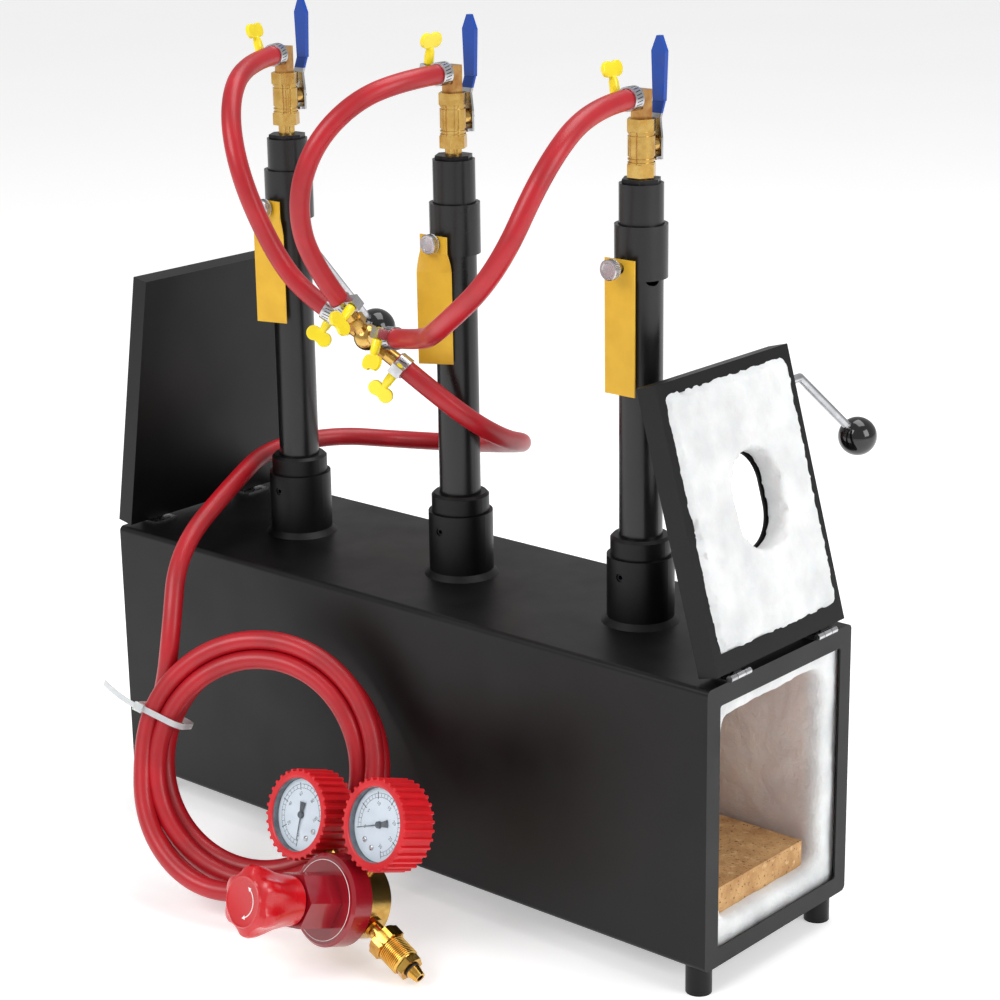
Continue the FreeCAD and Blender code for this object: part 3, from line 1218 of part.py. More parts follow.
def check_and_export():
    doc.recompute()
    for thing in doc.Objects:
        if "Invalid" in thing.State or "Error" in thing.State:
            raise ValueError(f"{thing.Name} failed: {thing.State}")
    for thing in NODES:
        shape = thing.Shape
        if shape.isNull() or not shape.isValid() or shape.Volume <= 0:
            raise ValueError(f"{thing.Label} has no valid shape")
    for thing in NODES:
        thing.Shape.exportStep(f"parts/{thing.Label}.step")
        print(f"{thing.Label}: {len(thing.Shape.Solids)} solids, {thing.Shape.Volume / 1000:.1f} cm3")
    print(len(NODES), "nodes")


build()
check_and_export()
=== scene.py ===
"""Looks of a small gas forge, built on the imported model. Metres, in the row's frame."""
import json
import math

import bpy
from mathutils import Matrix, Vector, noise


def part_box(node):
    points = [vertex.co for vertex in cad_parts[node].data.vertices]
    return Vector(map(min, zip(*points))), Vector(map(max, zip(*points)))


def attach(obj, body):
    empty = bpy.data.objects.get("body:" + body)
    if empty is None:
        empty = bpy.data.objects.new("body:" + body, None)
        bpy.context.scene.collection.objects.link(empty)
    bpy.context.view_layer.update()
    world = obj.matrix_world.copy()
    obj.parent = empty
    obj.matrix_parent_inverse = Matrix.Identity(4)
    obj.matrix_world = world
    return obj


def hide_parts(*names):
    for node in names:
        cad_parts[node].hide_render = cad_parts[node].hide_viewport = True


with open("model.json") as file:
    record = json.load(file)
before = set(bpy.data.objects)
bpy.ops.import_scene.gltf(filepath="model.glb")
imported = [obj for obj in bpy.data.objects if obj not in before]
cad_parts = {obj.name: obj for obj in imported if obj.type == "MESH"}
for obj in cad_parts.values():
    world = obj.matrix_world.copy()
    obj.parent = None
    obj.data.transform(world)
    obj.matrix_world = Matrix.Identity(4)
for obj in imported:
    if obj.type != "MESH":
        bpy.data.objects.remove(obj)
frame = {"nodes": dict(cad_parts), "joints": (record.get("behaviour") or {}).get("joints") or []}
NODES = frame["nodes"]
JOINTS = {joint["name"]: joint for joint in frame["joints"]}
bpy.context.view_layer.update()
MM = 0.001
Y, Z = Vector((0, 1, 0)), Vector((0, 0, 1))
BURNERS = {1: -0.1655, 2: 0.0, 3: 0.1655}

# ---- camera ----

CAMERA_AT = Vector((1.172, -1.2989, 0.8089))
RIGHT = Vector((0.75415, 0.65651, -0.0156))
UPWARD = Vector((-0.18052, 0.23009, 0.95628))
BACK = Vector((0.6314, -0.71836, 0.29204))

camera = bpy.data.objects.new("camera", bpy.data.cameras.new("camera"))
bpy.context.scene.collection.objects.link(camera)
FACING = Matrix((RIGHT, UPWARD, BACK)).transposed().to_4x4()
camera.matrix_world = Matrix.Translation(CAMERA_AT) @ FACING
camera.data.sensor_width = 36
camera.data.lens = 90.55
camera.data.shift_x = 0.0081
camera.data.shift_y = 0.0022
bpy.context.scene.camera = camera


# ---- materials ----

def linear(red, green, blue):
    """Screen values from 0 to 255 as the linear colour that a shader takes."""
    return [((c / 255 + 0.055) / 1.055) ** 2.4 for c in (red, green, blue)] + [1.0]


class Look:
    """A node material: noise in rest coordinates varies colour and roughness and raises a bump."""

    def __init__(self, name, base, second=None, rough=0.5, rough_end=None, metal=0.0, coat=0.0,
                 grain=60.0, bump=0.0, bump_grain=400.0, depth=0.0002, sheen=0.0,
                 transmission=0.0, subsurface=0.0, ior=1.5):
        self.material = bpy.data.materials.new(name)
        self.material.use_nodes = True
        self.tree = self.material.node_tree
        self.shader = self.tree.nodes["Principled BSDF"]
        inputs = self.shader.inputs
        inputs["Metallic"].default_value = metal
        inputs["Coat Weight"].default_value = coat
        inputs["Coat Roughness"].default_value = 0.12
        inputs["Sheen Weight"].default_value = sheen
        inputs["Transmission Weight"].default_value = transmission
        inputs["Subsurface Weight"].default_value = subsurface
        inputs["IOR"].default_value = ior
        self.place = self.tree.nodes.new("ShaderNodeTexCoord").outputs["Object"]
        cloud = self.noise(grain, 4)
        self.colour = self.mix(self.between(cloud, 0.35, 0.65), base, second or base)
        self.roughness = self.between(cloud, 0.3, 0.7, rough, rough_end or rough * 1.25)
        self.metal = None
        self.link(self.colour, inputs["Base Color"])
        self.link(self.roughness, inputs["Roughness"])
        if bump:
            self.raise_by(self.noise(bump_grain, 3), bump, depth)

    def link(self, start, end):
        self.tree.links.new(start, end)

    def noise(self, scale, detail):
        made = self.tree.nodes.new("ShaderNodeTexNoise")
        made.inputs["Scale"].default_value = scale
        made.inputs["Detail"].default_value = detail
        self.link(self.place, made.inputs["Vector"])
        return made.outputs["Fac"]

    def between(self, fac, low, high, to_low=0.0, to_high=1.0):
        made = self.tree.nodes.new("ShaderNodeMapRange")
        for name, number in (("From Min", low), ("From Max", high), ("To Min", to_low),
                             ("To Max", to_high)):
            made.inputs[name].default_value = number
        self.link(fac, made.inputs["Value"])
        return made.outputs["Result"]

    def mix(self, fac, first, second):
        made = self.tree.nodes.new("ShaderNodeMix")
        made.data_type = "RGBA"
        self.link(fac, made.inputs["Factor"])
        for socket, colour in ((made.inputs[6], first), (made.inputs[7], second)):
            if isinstance(colour, bpy.types.NodeSocket):
                self.link(colour, socket)
            else:
                socket.default_value = colour
        return made.outputs[2]

    def maths(self, operation, *values):
        made = self.tree.nodes.new("ShaderNodeMath")
        made.operation = operation
        for socket, number in zip(made.inputs, values):
            if isinstance(number, bpy.types.NodeSocket):
                self.link(number, socket)
            else:
                socket.default_value = number
        return made.outputs[0]

    def raise_by(self, height, strength, depth):
        made = self.tree.nodes.new("ShaderNodeBump")
        made.inputs["Strength"].default_value = strength
        made.inputs["Distance"].default_value = depth
        self.link(height, made.inputs["Height"])
        if self.shader.inputs["Normal"].is_linked:
            self.link(self.shader.inputs["Normal"].links[0].from_socket, made.inputs["Normal"])
        self.link(made.outputs["Normal"], self.shader.inputs["Normal"])

    def round_axis(self, point, reach):
        """1 within reach of the line along Y through a point at rest."""
        across = [self.maths("SUBTRACT", self.axis(index), point[index]) for index in (0, 2)]
        squares = [self.maths("MULTIPLY", side, side) for side in across]
        return self.maths("LESS_THAN", self.maths("ADD", *squares), reach * reach)

    def axis(self, index):
        parts = self.tree.nodes.new("ShaderNodeSeparateXYZ")
        self.link(self.place, parts.inputs[0])
        return parts.outputs[index]

    def where(self, mask, colour, rough, metal):
        """Another finish where mask is 1."""
        inputs = self.shader.inputs
        self.colour = self.mix(mask, self.colour, colour)
        self.link(self.colour, inputs["Base Color"])
        back = self.maths("MULTIPLY", self.maths("SUBTRACT", 1.0, mask), self.roughness)
        self.roughness = self.maths("ADD", back, self.maths("MULTIPLY", mask, rough))
        self.link(self.roughness, inputs["Roughness"])
        own = inputs["Metallic"].default_value if self.metal is None else self.metal
        kept = self.maths("MULTIPLY", self.maths("SUBTRACT", 1.0, mask), own)
        self.metal = self.maths("ADD", kept, self.maths("MULTIPLY", mask, metal))
        self.link(self.metal, inputs["Metallic"])
        return self


STEEL = linear(205, 205, 208)


def powder(name):
    look = Look(name, linear(6, 6, 7), linear(9, 9, 10), rough=0.36, rough_end=0.46, grain=25,
                bump=0.35, bump_grain=1500, depth=0.00012)
    look.shader.inputs["Specular IOR Level"].default_value = 0.28
    return look


def brass(name, base, second, rough=0.2):
    return Look(name, base, second, rough=rough, metal=1.0, grain=140, bump=0.12, bump_grain=500,
                depth=0.0001)


LOOKS = {
    "powder": powder("black_powder_coat"),
    "tube": Look("black_tube_paint", linear(12, 12, 13), linear(16, 16, 17), rough=0.26,
                 rough_end=0.34, grain=30, bump=0.2, bump_grain=900, depth=0.0001),
    "dark": Look("dark_oxide", linear(52, 52, 55), linear(34, 34, 36), rough=0.35, metal=0.9,
                 grain=120, bump=0.1, depth=0.0001),
    "brass": brass("turned_brass", linear(214, 178, 104), linear(196, 152, 78)),
    "elbow": brass("copper_brass", linear(206, 160, 98), linear(176, 120, 66), 0.26),
    "gold": brass("golden_brass", linear(226, 184, 96), linear(200, 146, 60), 0.18),
    "steel": Look("zinc_steel", STEEL, linear(176, 177, 180), rough=0.24, metal=1.0, grain=90,
                  bump=0.08, depth=0.0001),
    "yellow": Look("yellow_plastic", linear(247, 226, 20), linear(240, 214, 14), rough=0.22,
                   coat=0.4, grain=50, bump=0.06, depth=0.0001),
    "card": Look("tag_card", linear(226, 178, 38), linear(214, 164, 30), rough=0.42, grain=45,
                 bump=0.12, bump_grain=350, depth=0.0001),
    "hose": Look("red_hose_rubber", linear(180, 18, 32), linear(160, 12, 25), rough=0.36,
                 grain=35, bump=0.25, bump_grain=900, depth=0.00015, coat=0.08),
    "boot": Look("red_boot_rubber", linear(214, 28, 38), linear(198, 20, 30), rough=0.34,
                 grain=60, bump=0.2, bump_grain=600, depth=0.0001),
    "knob": Look("red_knob_plastic", linear(200, 16, 28), linear(186, 10, 22), rough=0.24,
                 coat=0.3, grain=40, bump=0.08, depth=0.0001),
    "maroon": Look("maroon_enamel", linear(146, 15, 31), linear(128, 10, 25), rough=0.2,
                   coat=0.5, grain=30, bump=0.08, bump_grain=250, depth=0.0001),
    "white": Look("white_paint", linear(238, 238, 236), rough=0.4, grain=80, bump=0.05),
    "dial": Look("dial_card", linear(214, 226, 236), linear(206, 219, 230), rough=0.45,
                 grain=60, bump=0.05),
    "ball": Look("ball_plastic", linear(14, 14, 15), rough=0.08, coat=0.3, grain=40),
    "ink": Look("dial_ink", linear(40, 46, 54), linear(52, 58, 66), rough=0.5, grain=200),
    "needle": Look("needle_grey", linear(108, 114, 120), linear(84, 90, 96), rough=0.3,
                   metal=0.5, grain=200, bump=0.05),
    "rubber": Look("black_rubber", linear(16, 16, 17), linear(24, 24, 25), rough=0.4, grain=80,
                   bump=0.1),
    "nylon": Look("clear_nylon", linear(236, 236, 234), linear(222, 224, 226), rough=0.28,
                  grain=120, bump=0.1, transmission=0.35, subsurface=0.2),
    "glass": Look("clear_lens", linear(250, 252, 255), rough=0.03, grain=10, transmission=1.0,
                  ior=1.05),
    "case": Look("gauge_case", linear(150, 152, 156), linear(124, 126, 130), rough=0.3,
                 metal=1.0, grain=120, bump=0.05),
}
LOOKS["glass"].shader.inputs["Alpha"].default_value = 0.12


def firebrick():
    look = Look("firebrick", linear(206, 164, 112), linear(178, 134, 86), rough=0.85,
                rough_end=0.95, grain=70, bump=0.9, bump_grain=320, depth=0.0012)
    specks = look.noise(420, 2)
    dark = look.between(specks, 0.62, 0.68)
    look.colour = look.mix(dark, look.colour, linear(112, 78, 50))
    pale = look.between(look.noise(150, 5), 0.6, 0.75)
    look.colour = look.mix(pale, look.colour, linear(226, 190, 144))
    look.link(look.colour, look.shader.inputs["Base Color"])
    return look


def wool(name, base, second):
    look = Look(name, base, second, rough=0.9, rough_end=0.98, grain=28, bump=0.7,
                bump_grain=160, depth=0.0014, sheen=0.25, subsurface=0.1)
    look.raise_by(look.noise(700, 4), 0.5, 0.0006)
    return look


WHITE_WOOL = (linear(228, 228, 228), linear(206, 207, 208))
LOOKS["brick"] = firebrick()
LOOKS["wool"] = wool("ceramic_wool", *WHITE_WOOL)


def chamber_wool():
    """White at the two mouths, and painted shade deeper inside: greyer and pinkish away from the
    mouths.
    """
    look = wool("chamber_wool", *WHITE_WOOL)
    deep = look.between(look.maths("ABSOLUTE", look.axis(0)), 0.272, 0.262)
    ragged = look.between(look.noise(90, 3), 0.3, 0.7, 0.7, 1.0)
    # Painted shade: past a ragged white rim at each mouth, the chamber wool is coloured greyer and
    # pinkish.
    painted_shade = look.mix(look.between(look.noise(14, 3), 0.35, 0.65), linear(232, 216, 206),
                     linear(212, 196, 190))
    look.colour = look.mix(look.maths("MULTIPLY", deep, ragged), look.colour, painted_shade)
    look.link(look.colour, look.shader.inputs["Base Color"])
    return look


LOOKS["chamber"] = chamber_wool()


def knuckled(name, hinge):
    """Black pan whose hinge barrels are bare steel."""
    pivot = Vector(JOINTS[hinge]["pos_m"])
    look = powder(name)
    return look.where(look.round_axis(pivot, 2.6 * MM), STEEL, 0.25, 1.0)


def ball_place(node, largest):
    """Middle of the ball at a handle's low far end, from the node's own vertices."""
    verts = [vertex.co for vertex in NODES[node].data.vertices]
    far, low = max(v.y for v in verts), min(v.z for v in verts)
    across = [v.x for v in verts if v.y > far - 0.7 * largest and v.z < low + 0.8 * largest]
    return Vector(((min(across) + max(across)) / 2, far - largest / 2, low + largest / 2))


def gripped(number):
    pivot = Vector(JOINTS[f"valve_lever_{number}_turn"]["pos_m"])
    look = Look(f"lever_{number}", STEEL, linear(170, 172, 175), rough=0.2, metal=1.0, grain=90,
                bump=0.05)
    grip = look.maths("GREATER_THAN", look.axis(2), pivot.z + 20 * MM)
    return look.where(grip, linear(16, 66, 160), 0.16, 0.0)


NODE_LOOKS = {
    "powder": ["casing_shell", "end_frames", "feet", "burner_sockets", "burner_collars"],
    "tube": ["mixing_tubes", "choke_1", "choke_2", "choke_3"],
    "dark": ["grub_screws", "tube_caps", "adjusting_spring"],
    "brass": ["valve_bodies", "gas_jets", "manifold", "regulator_body"],
    "elbow": ["hose_elbows"],
    "gold": ["inlet_nipple", "inlet_nut"],
    "steel": ["hose_clamp_bands", "choke_screw_1", "choke_screw_2", "choke_screw_3",
              "hinge_fixed_leaves", "front_handle", "rear_handle"],
    "card": ["tag_1", "tag_2", "tag_3"],
    "boot": ["gauge_boots"],
    "maroon": ["regulator_bonnet"],
    "knob": ["adjusting_knob"],
    "needle": ["gauge_needle_1", "gauge_needle_2"],
    "case": ["gauge_cases"],
    "glass": ["gauge_lenses"],
    "brick": ["fire_bricks"],
    "yellow": [f"burner_key_{n}" for n in (1, 2, 3)] + [f"manifold_key_{n}" for n in (1, 2, 3, 4)]
    + ["outlet_key"],
    "hose": ["branch_hose_1", "branch_hose_2", "branch_hose_3", "feed_hose", "outlet_hose",
             "hose_coil"],
    "nylon": ["cable_tie"],
    "wool": ["front_door_lining", "rear_door_lining"],
    "chamber": ["chamber_lining"],
}
SMOOTH_BELOW = math.radians(32)


def dress(thing, look):
    thing.data.materials.clear()
    thing.data.materials.append(look.material)


def smooth(thing):
    mesh = thing.data
    mesh.polygons.foreach_set("use_smooth", [True] * len(mesh.polygons))
    mesh.set_sharp_from_angle(angle=SMOOTH_BELOW)


for look_name, members in NODE_LOOKS.items():
    for member in members:
        dress(NODES[member], LOOKS[look_name])
dress(NODES["front_door_pan"], knuckled("front_pan", "front_door_hinge"))
dress(NODES["rear_door_pan"], knuckled("rear_pan", "rear_door_hinge"))
for number in BURNERS:
    dress(NODES[f"valve_lever_{number}"], gripped(number))


# ---- making pieces ----

def piece(name, verts, faces, body, look, slot, rounded=None, sharp=True):
    mesh = bpy.data.meshes.new(name)
    mesh.from_pydata([tuple(v) for v in verts], [], faces)
    mesh.validate()
    mesh.update()
    made = bpy.data.objects.new(name, mesh)
    bpy.context.scene.collection.objects.link(made)
    dress(made, look)
    if rounded:
        bevel = made.modifiers.new("edges", "BEVEL")
        bevel.width = rounded
        bevel.segments = 3
        bevel.limit_method = "ANGLE"
        bevel.angle_limit = math.radians(35)
    if sharp:
        smooth(made)
    else:
        mesh.polygons.foreach_set("use_smooth", [True] * len(mesh.polygons))
    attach(made, body)
    return made


def basis(along, hint):
    """Two directions square to along, the second as near to hint as can be."""
    along = Vector(along).normalized()
    hint = (Vector(hint) - along * Vector(hint).dot(along)).normalized()
    return hint.cross(along), hint, along


def lathe(profile, centre, along, hint, count=64, wobble=None):
    """Rings of (distance along, radius); a radius of 0 closes an end."""
    side, hint, along = basis(along, hint)
    verts = []
    faces = []
    rings = []
    for reach, radius in profile:
        if radius == 0:
            rings.append([len(verts)])
            verts.append(centre + along * reach)
            continue
        turned = []
        for step in range(count):
            angle = 2 * math.pi * step / count
            size = radius + (wobble(angle, reach) if wobble else 0)
            turned.append(len(verts))
            verts.append(centre + along * reach + (hint * math.cos(angle)
                                                   + side * math.sin(angle)) * size)
        rings.append(turned)
    for first, second in zip(rings, rings[1:]):
        for step in range(count):
            after = (step + 1) % count
            if len(first) == 1:
                faces.append((first[0], second[after], second[step]))
            elif len(second) == 1:
                faces.append((first[step], first[after], second[0]))
            else:
                faces.append((first[step], first[after], second[after], second[step]))
    return verts, faces


def gather(*meshes):
    verts = []
    faces = []
    for some, their in meshes:
        start = len(verts)
        verts.extend(some)
        faces.extend(tuple(index + start for index in face) for face in their)
    return verts, faces


def slab(outline, centre, right, up, out, thick):
    """A flat plate with that outline, thick towards out."""
    flat = [centre + right * x + up * y for x, y in outline]
    count = len(flat)
    verts = flat + [point + out * thick for point in flat]
    faces = [tuple(reversed(range(count))), tuple(range(count, 2 * count))]
    faces += [(i, (i + 1) % count, count + (i + 1) % count, count + i) for i in range(count)]
    return verts, faces


# ---- ball knobs on the handles ----

BALL_STEPS = 24
for side, largest in (("front", 27 * MM), ("rear", 33 * MM)):
    radius = largest / 2 + 0.15 * MM
    turns = [math.pi * step / BALL_STEPS for step in range(1, BALL_STEPS)]
    arc = [(-radius * math.cos(turn), radius * math.sin(turn)) for turn in turns]
    middle = ball_place(f"{side}_handle", largest)
    ball = lathe([(-radius, 0), *arc, (radius, 0)], middle, Z, Y, 48)
    piece(f"{side}_ball", *ball, f"{side}_door", LOOKS["ball"], None, sharp=False)

# ---- hoses ----

HOSE = 14 * MM
BRANCHES = {
    1: ((-164, -6, 588), (-152, -52, 588), (-132, -89, 563), (-108, -104, 518),
        (-95, -86, 462), (-75, -77, 434), (-52, -68, 419)),
    2: ((0, -6, 586), (0, -44, 586), (-15, -81, 575), (-32, -106, 546), (-43, -113, 506),
        (-46, -99, 463), (-36, -74, 426)),
    3: ((165.5, -6, 582), (165.5, -50, 582), (170, -103, 552), (152, -131, 484),
        (89, -117, 437), (34, -73, 414), (-6, -65, 409)),
}
FEED = ((-12, -51, 389), (26, -35, 357), (38, 4, 328), (12, 66, 307), (-92, 120, 277),
        (-159, 106, 272), (-196, 68, 278), (-208, 6, 278), (-188, -49, 267), (-167, -127, 238),
        (-147, -155, 187))
OUTLET = ((-125, -211, 58), (-76, -212, 23), (-20, -191.5, 27), (11.2, -184.8, 32.5))
COIL_AT = Vector((-62.2, -148.6, 101))
COIL_RIGHT = Vector((0.9063, 0.4226, 0))
COIL_UP = Vector((-0.1445, 0.3100, 0.9397))
COIL_OUT = Vector((0.3971, -0.8517, 0.3420))
COIL_START = 152.0
COIL_TURNS = 3.058
TURN_POINTS = 16
COIL_IN, COIL_OUTER = 95.0, 93.0
INNERMOST = 73.0
INWARD_TURNS, OUTWARD_FROM = 1.5, 1.62
CROSSING_FROM, CROSSING_TURNS = 1.44, 0.24
LAYER = 7.0
TO_CONTROL = 0.981  # a control polygon stands this much outside its curve


def on_coil(radius, angle, forward):
    turn = math.radians(angle)
    flat = COIL_RIGHT * (radius * math.cos(turn)) + COIL_UP * (radius * math.sin(turn))
    return COIL_AT + flat + COIL_OUT * forward


def winding():
    """Inwards in the back layer, across, then outwards in the front layer."""
    points = []
    count = round(COIL_TURNS * TURN_POINTS)
    for step in range(count + 1):
        turn = COIL_TURNS * step / count
        inward = min(turn / INWARD_TURNS, 1.0)
        outward = max((turn - OUTWARD_FROM) / (COIL_TURNS - OUTWARD_FROM), 0.0)
        across = min(max((turn - CROSSING_FROM) / CROSSING_TURNS, 0.0), 1.0)
        radius = COIL_IN - (COIL_IN - INNERMOST) * inward + (COIL_OUTER - INNERMOST) * outward
        if 0 < step < count:
            radius /= TO_CONTROL
        points.append(on_coil(radius, COIL_START + 360 * turn,
                              LAYER * (2 * across - 1)))
    return points


def tube(name, points, replaced):
    curve = bpy.data.curves.new(name, "CURVE")
    curve.dimensions = "3D"
    curve.bevel_depth = HOSE / 2
    curve.bevel_resolution = 10
    curve.use_fill_caps = True
    curve.resolution_u = 12
    spline = curve.splines.new("NURBS")
    spline.points.add(len(points) - 1)
    for target, point in zip(spline.points, points):
        target.co = (*(Vector(point) * MM), 1)
    spline.order_u = 3
    spline.use_endpoint_u = True
    made = bpy.data.objects.new(name, curve)
    bpy.context.scene.collection.objects.link(made)
    curve.materials.append(LOOKS["hose"].material)
    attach(made, "forge")
    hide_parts(*replaced)
    return made


for number, route in BRANCHES.items():
    hose = tube(f"branch_tube_{number}", route, [f"branch_hose_{number}"])
lead = tube("lead_tube", [*FEED, *winding(), *OUTLET], ["feed_hose", "hose_coil", "outlet_hose"])

# ---- the floor and the lights ----

floor = bpy.data.objects.new("floor", bpy.data.meshes.new("floor"))
floor.data.from_pydata([(-6, -6, 0), (6, -6, 0), (6, 6, 0), (-6, 6, 0)], [], [(0, 1, 2, 3)])
bpy.context.scene.collection.objects.link(floor)
FLOOR_GLOW = 0.42
WORLD_LIGHT = 0.5
PALE = Look("pale_floor", linear(240, 240, 240), linear(238, 238, 238), rough=0.7, grain=2)
PALE.shader.inputs["Emission Color"].default_value = (1, 1, 1, 1)
PALE.shader.inputs["Emission Strength"].default_value = FLOOR_GLOW
dress(floor, PALE)


def lamp(name, at, target, size, power):
    light = bpy.data.lights.new(name, "AREA")
    light.shape = "RECTANGLE"
    light.size, light.size_y = size
    light.energy = power
    made = bpy.data.objects.new(name, light)
    bpy.context.scene.collection.objects.link(made)
    made.location = at
    made.rotation_mode = "QUATERNION"
    made.rotation_quaternion = (Vector(target) - Vector(at)).to_track_quat("-Z", "Y")


MIDDLE = (0.0, 0.0, 0.28)
lamp("key_light", (-0.4, -2.2, 2.0), MIDDLE, (1.6, 1.2), 34)
lamp("right_light", (2.4, 0.2, 1.3), MIDDLE, (1.2, 1.4), 24)
lamp("top_light", (0.2, 0.6, 2.6), MIDDLE, (2.0, 1.4), 30)
world = bpy.data.worlds.new("studio")
bpy.context.scene.world = world
world.use_nodes = True
background = world.node_tree.nodes["Background"]
background.inputs["Color"].default_value = (1, 1, 1, 1)
seen = world.node_tree.nodes.new("ShaderNodeLightPath").outputs["Is Camera Ray"]
glow = world.node_tree.nodes.new("ShaderNodeMapRange")
glow.inputs["To Min"].default_value = WORLD_LIGHT
world.node_tree.links.new(seen, glow.inputs["Value"])
world.node_tree.links.new(glow.outputs["Result"], background.inputs["Strength"])
bpy.context.scene.view_settings.view_transform = "Standard"


# ---- ceramic wool ----

def fluff(node, exposed, body, look, voxel, lift, ragged, lip=None):
    """The node's solid as torn, lumpy wool. Faces against metal only sink; exposed(normal, place)
    says how freely a point may rise, and the proud part past the lip is frayed inwards."""
    made = bpy.data.objects.new(f"{node}_wool", NODES[node].data.copy())
    bpy.context.scene.collection.objects.link(made)
    remesh = made.modifiers.new("voxels", "REMESH")
    remesh.mode = "VOXEL"
    remesh.voxel_size = voxel
    soften = made.modifiers.new("soften", "SMOOTH")
    soften.factor = 0.6
    soften.iterations = 4
    shaped = bpy.data.meshes.new_from_object(
        made.evaluated_get(bpy.context.evaluated_depsgraph_get()))
    made.modifiers.clear()
    made.data = shaped
    normals = [vertex.normal.copy() for vertex in shaped.vertices]
    for vertex, normal in zip(shaped.vertices, normals):
        place = vertex.co.copy()
        free = exposed(normal, place)
        if not free:
            vertex.co -= normal * 0.35 * MM
            continue
        broad = noise.fractal(place * 22, 1.0, 2.2, 3)
        fine = noise.fractal(place * 110 + Vector((3, 1, 7)), 1.0, 2.0, 3)
        tuft = 0.6 * broad + 0.4 * fine
        raised = lip.out * max(normal.dot(lip.out), 0) if lip else normal
        vertex.co += raised * lift * free * tuft
        if lip and lip(place) > 0:
            flat = normal - lip.out * normal.dot(lip.out)
            if flat.length > 0.5:
                vertex.co -= flat.normalized() * ragged * abs(fine + 0.5 * broad)
    shaped.polygons.foreach_set("use_smooth", [True] * len(shaped.polygons))
    dress(made, look)
    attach(made, body)
    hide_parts(node)
    return made


class Lip:
    """How far a point stands past the door pan's lip, along the wool's outward face."""

    def __init__(self, hinge, swing, closed_out):
        self.pivot = Vector(JOINTS[hinge]["pos_m"])
        turn = Matrix.Rotation(math.radians(swing), 3, Vector(JOINTS[hinge]["axis"]))
        self.out = (turn @ Vector(closed_out)).normalized()
        self.level = None

    def __call__(self, place):
        return (place - self.pivot).dot(self.out) - self.level


def door_wool(side, out):
    joint = JOINTS[f"{side}_door_hinge"]
    lip = Lip(f"{side}_door_hinge", -joint["range_deg"][0], out)
    verts = [v.co for v in NODES[f"{side}_door_pan"].data.vertices]
    width = max(abs(v.y) for v in verts)
    lip.level = max((v - lip.pivot).dot(lip.out) for v in verts
                    if abs(v.y) > 0.97 * width) - 0.3 * MM

    def exposed(normal, place):
        return 1.0 if lip(place) > 0 and normal.dot(lip.out) > -0.2 else 0.0
    fluff(f"{side}_door_lining", exposed, f"{side}_door", LOOKS["wool"],
          3.0 * MM, 2.2 * MM, 3.2 * MM, lip)


door_wool("front", (-1, 0, 0))
door_wool("rear", (1, 0, 0))


HELD = Vector((6, 6, 6)) * MM
LINED = (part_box("chamber_lining")[0] + HELD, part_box("chamber_lining")[1] - HELD)


def chamber_free(normal, place):
    """Free inside the chamber and at the mouths, and held by the casing elsewhere."""
    inside = (LINED[0].y < place.y < LINED[1].y and LINED[0].z < place.z < LINED[1].z)
    return 0.7 if inside else 0.0


fluff("chamber_lining", chamber_free, "forge", LOOKS["chamber"], 4.6 * MM,
      2.8 * MM, 0)

# ---- the regulator ----

NOSE = Vector((-0.10601, -0.94513, 0.30902))
ACROSS = Vector((0.99377, -0.11147, 0))
UPRIGHT = Vector((0.03445, 0.30709, 0.95106))
REGULATOR_AT = Vector((51, -182, 42)) * MM
LOBES = 6
KNOB_SPAN = (51, 93)
KNOB_ROLL = math.radians(-12)


def knob_profile():
    """(distance, radius, lobe) in mm from the skirt's rear to the inset face."""
    return ((51.0, 0, 0), (51.0, 15.5, 0), (51.6, 17, 0), (60, 17.6, 0.2), (68, 18.6, 0.8),
            (75, 19.6, 2.6), (81, 20.4, 3.6), (86.5, 20.8, 3.7), (89.4, 20.2, 3.2),
            (91, 18.6, 1.6), (91.4, 17.6, 0.4), (92.6, 17.2, 0), (92.8, 16.8, 0),
            (92.3, 16.0, 0), (92.2, 15.2, 0), (92.2, 0, 0))


def adjusting_knob():
    profile = knob_profile()
    lobes = {reach * MM: lobe * MM for reach, radius, lobe in profile}

    def wobble(angle, reach):
        wave = math.cos(LOBES * (angle - KNOB_ROLL))
        return lobes[reach] * (abs(wave) ** 0.7 * math.copysign(1, wave) * 0.5 + 0.5)
    steps = [(reach * MM, radius * MM) for reach, radius, lobe in profile]
    verts, faces = lathe(steps, REGULATOR_AT, NOSE, UPRIGHT, 120, wobble)
    made = piece("knob_shell", verts, faces, "adjusting_knob_body", LOOKS["knob"], "red_knob")
    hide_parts("adjusting_knob")
    side = NOSE.cross(UPRIGHT)
    centre = REGULATOR_AT + NOSE * 92.25 * MM
    middle, half, count = 10.6 * MM, 0.35 * MM, 40
    start, end = math.radians(-62), math.radians(62)
    band = []
    for radius in (middle + half, middle - half):
        turns = [start + (end - start) * i / count for i in range(count + 1)]
        if radius < middle:
            turns.reverse()
        band += [(radius * math.cos(t), radius * math.sin(t)) for t in turns]
    marks = [slab(band, centre, -side, UPRIGHT, NOSE, 0.12 * MM)]
    for turn, way in ((start, -1), (end, 1)):
        tip = Vector((math.cos(turn), math.sin(turn))) * middle
        along = Vector((-math.sin(turn), math.cos(turn))) * way
        across = Vector((math.cos(turn), math.sin(turn)))
        corners = [tip + across * 1.5 * MM, tip - across * 1.5 * MM, tip + along * 3.0 * MM]
        marks.append(slab([tuple(c) for c in corners], centre, -side, UPRIGHT, NOSE, 0.12 * MM))
    verts, faces = gather(*marks)
    piece("knob_arrow", verts, faces, "adjusting_knob_body", LOOKS["white"], None)


adjusting_knob()


def ring(name, centre, axis, radius, thickness, look, slot, body="forge", count=72):
    profile = [(thickness * math.sin(2 * math.pi * i / 12),
                radius + thickness * math.cos(2 * math.pi * i / 12)) for i in range(13)]
    verts, faces = lathe(profile, centre, axis, UPRIGHT, count)
    return piece(name, verts, faces, body, look, slot, sharp=False)


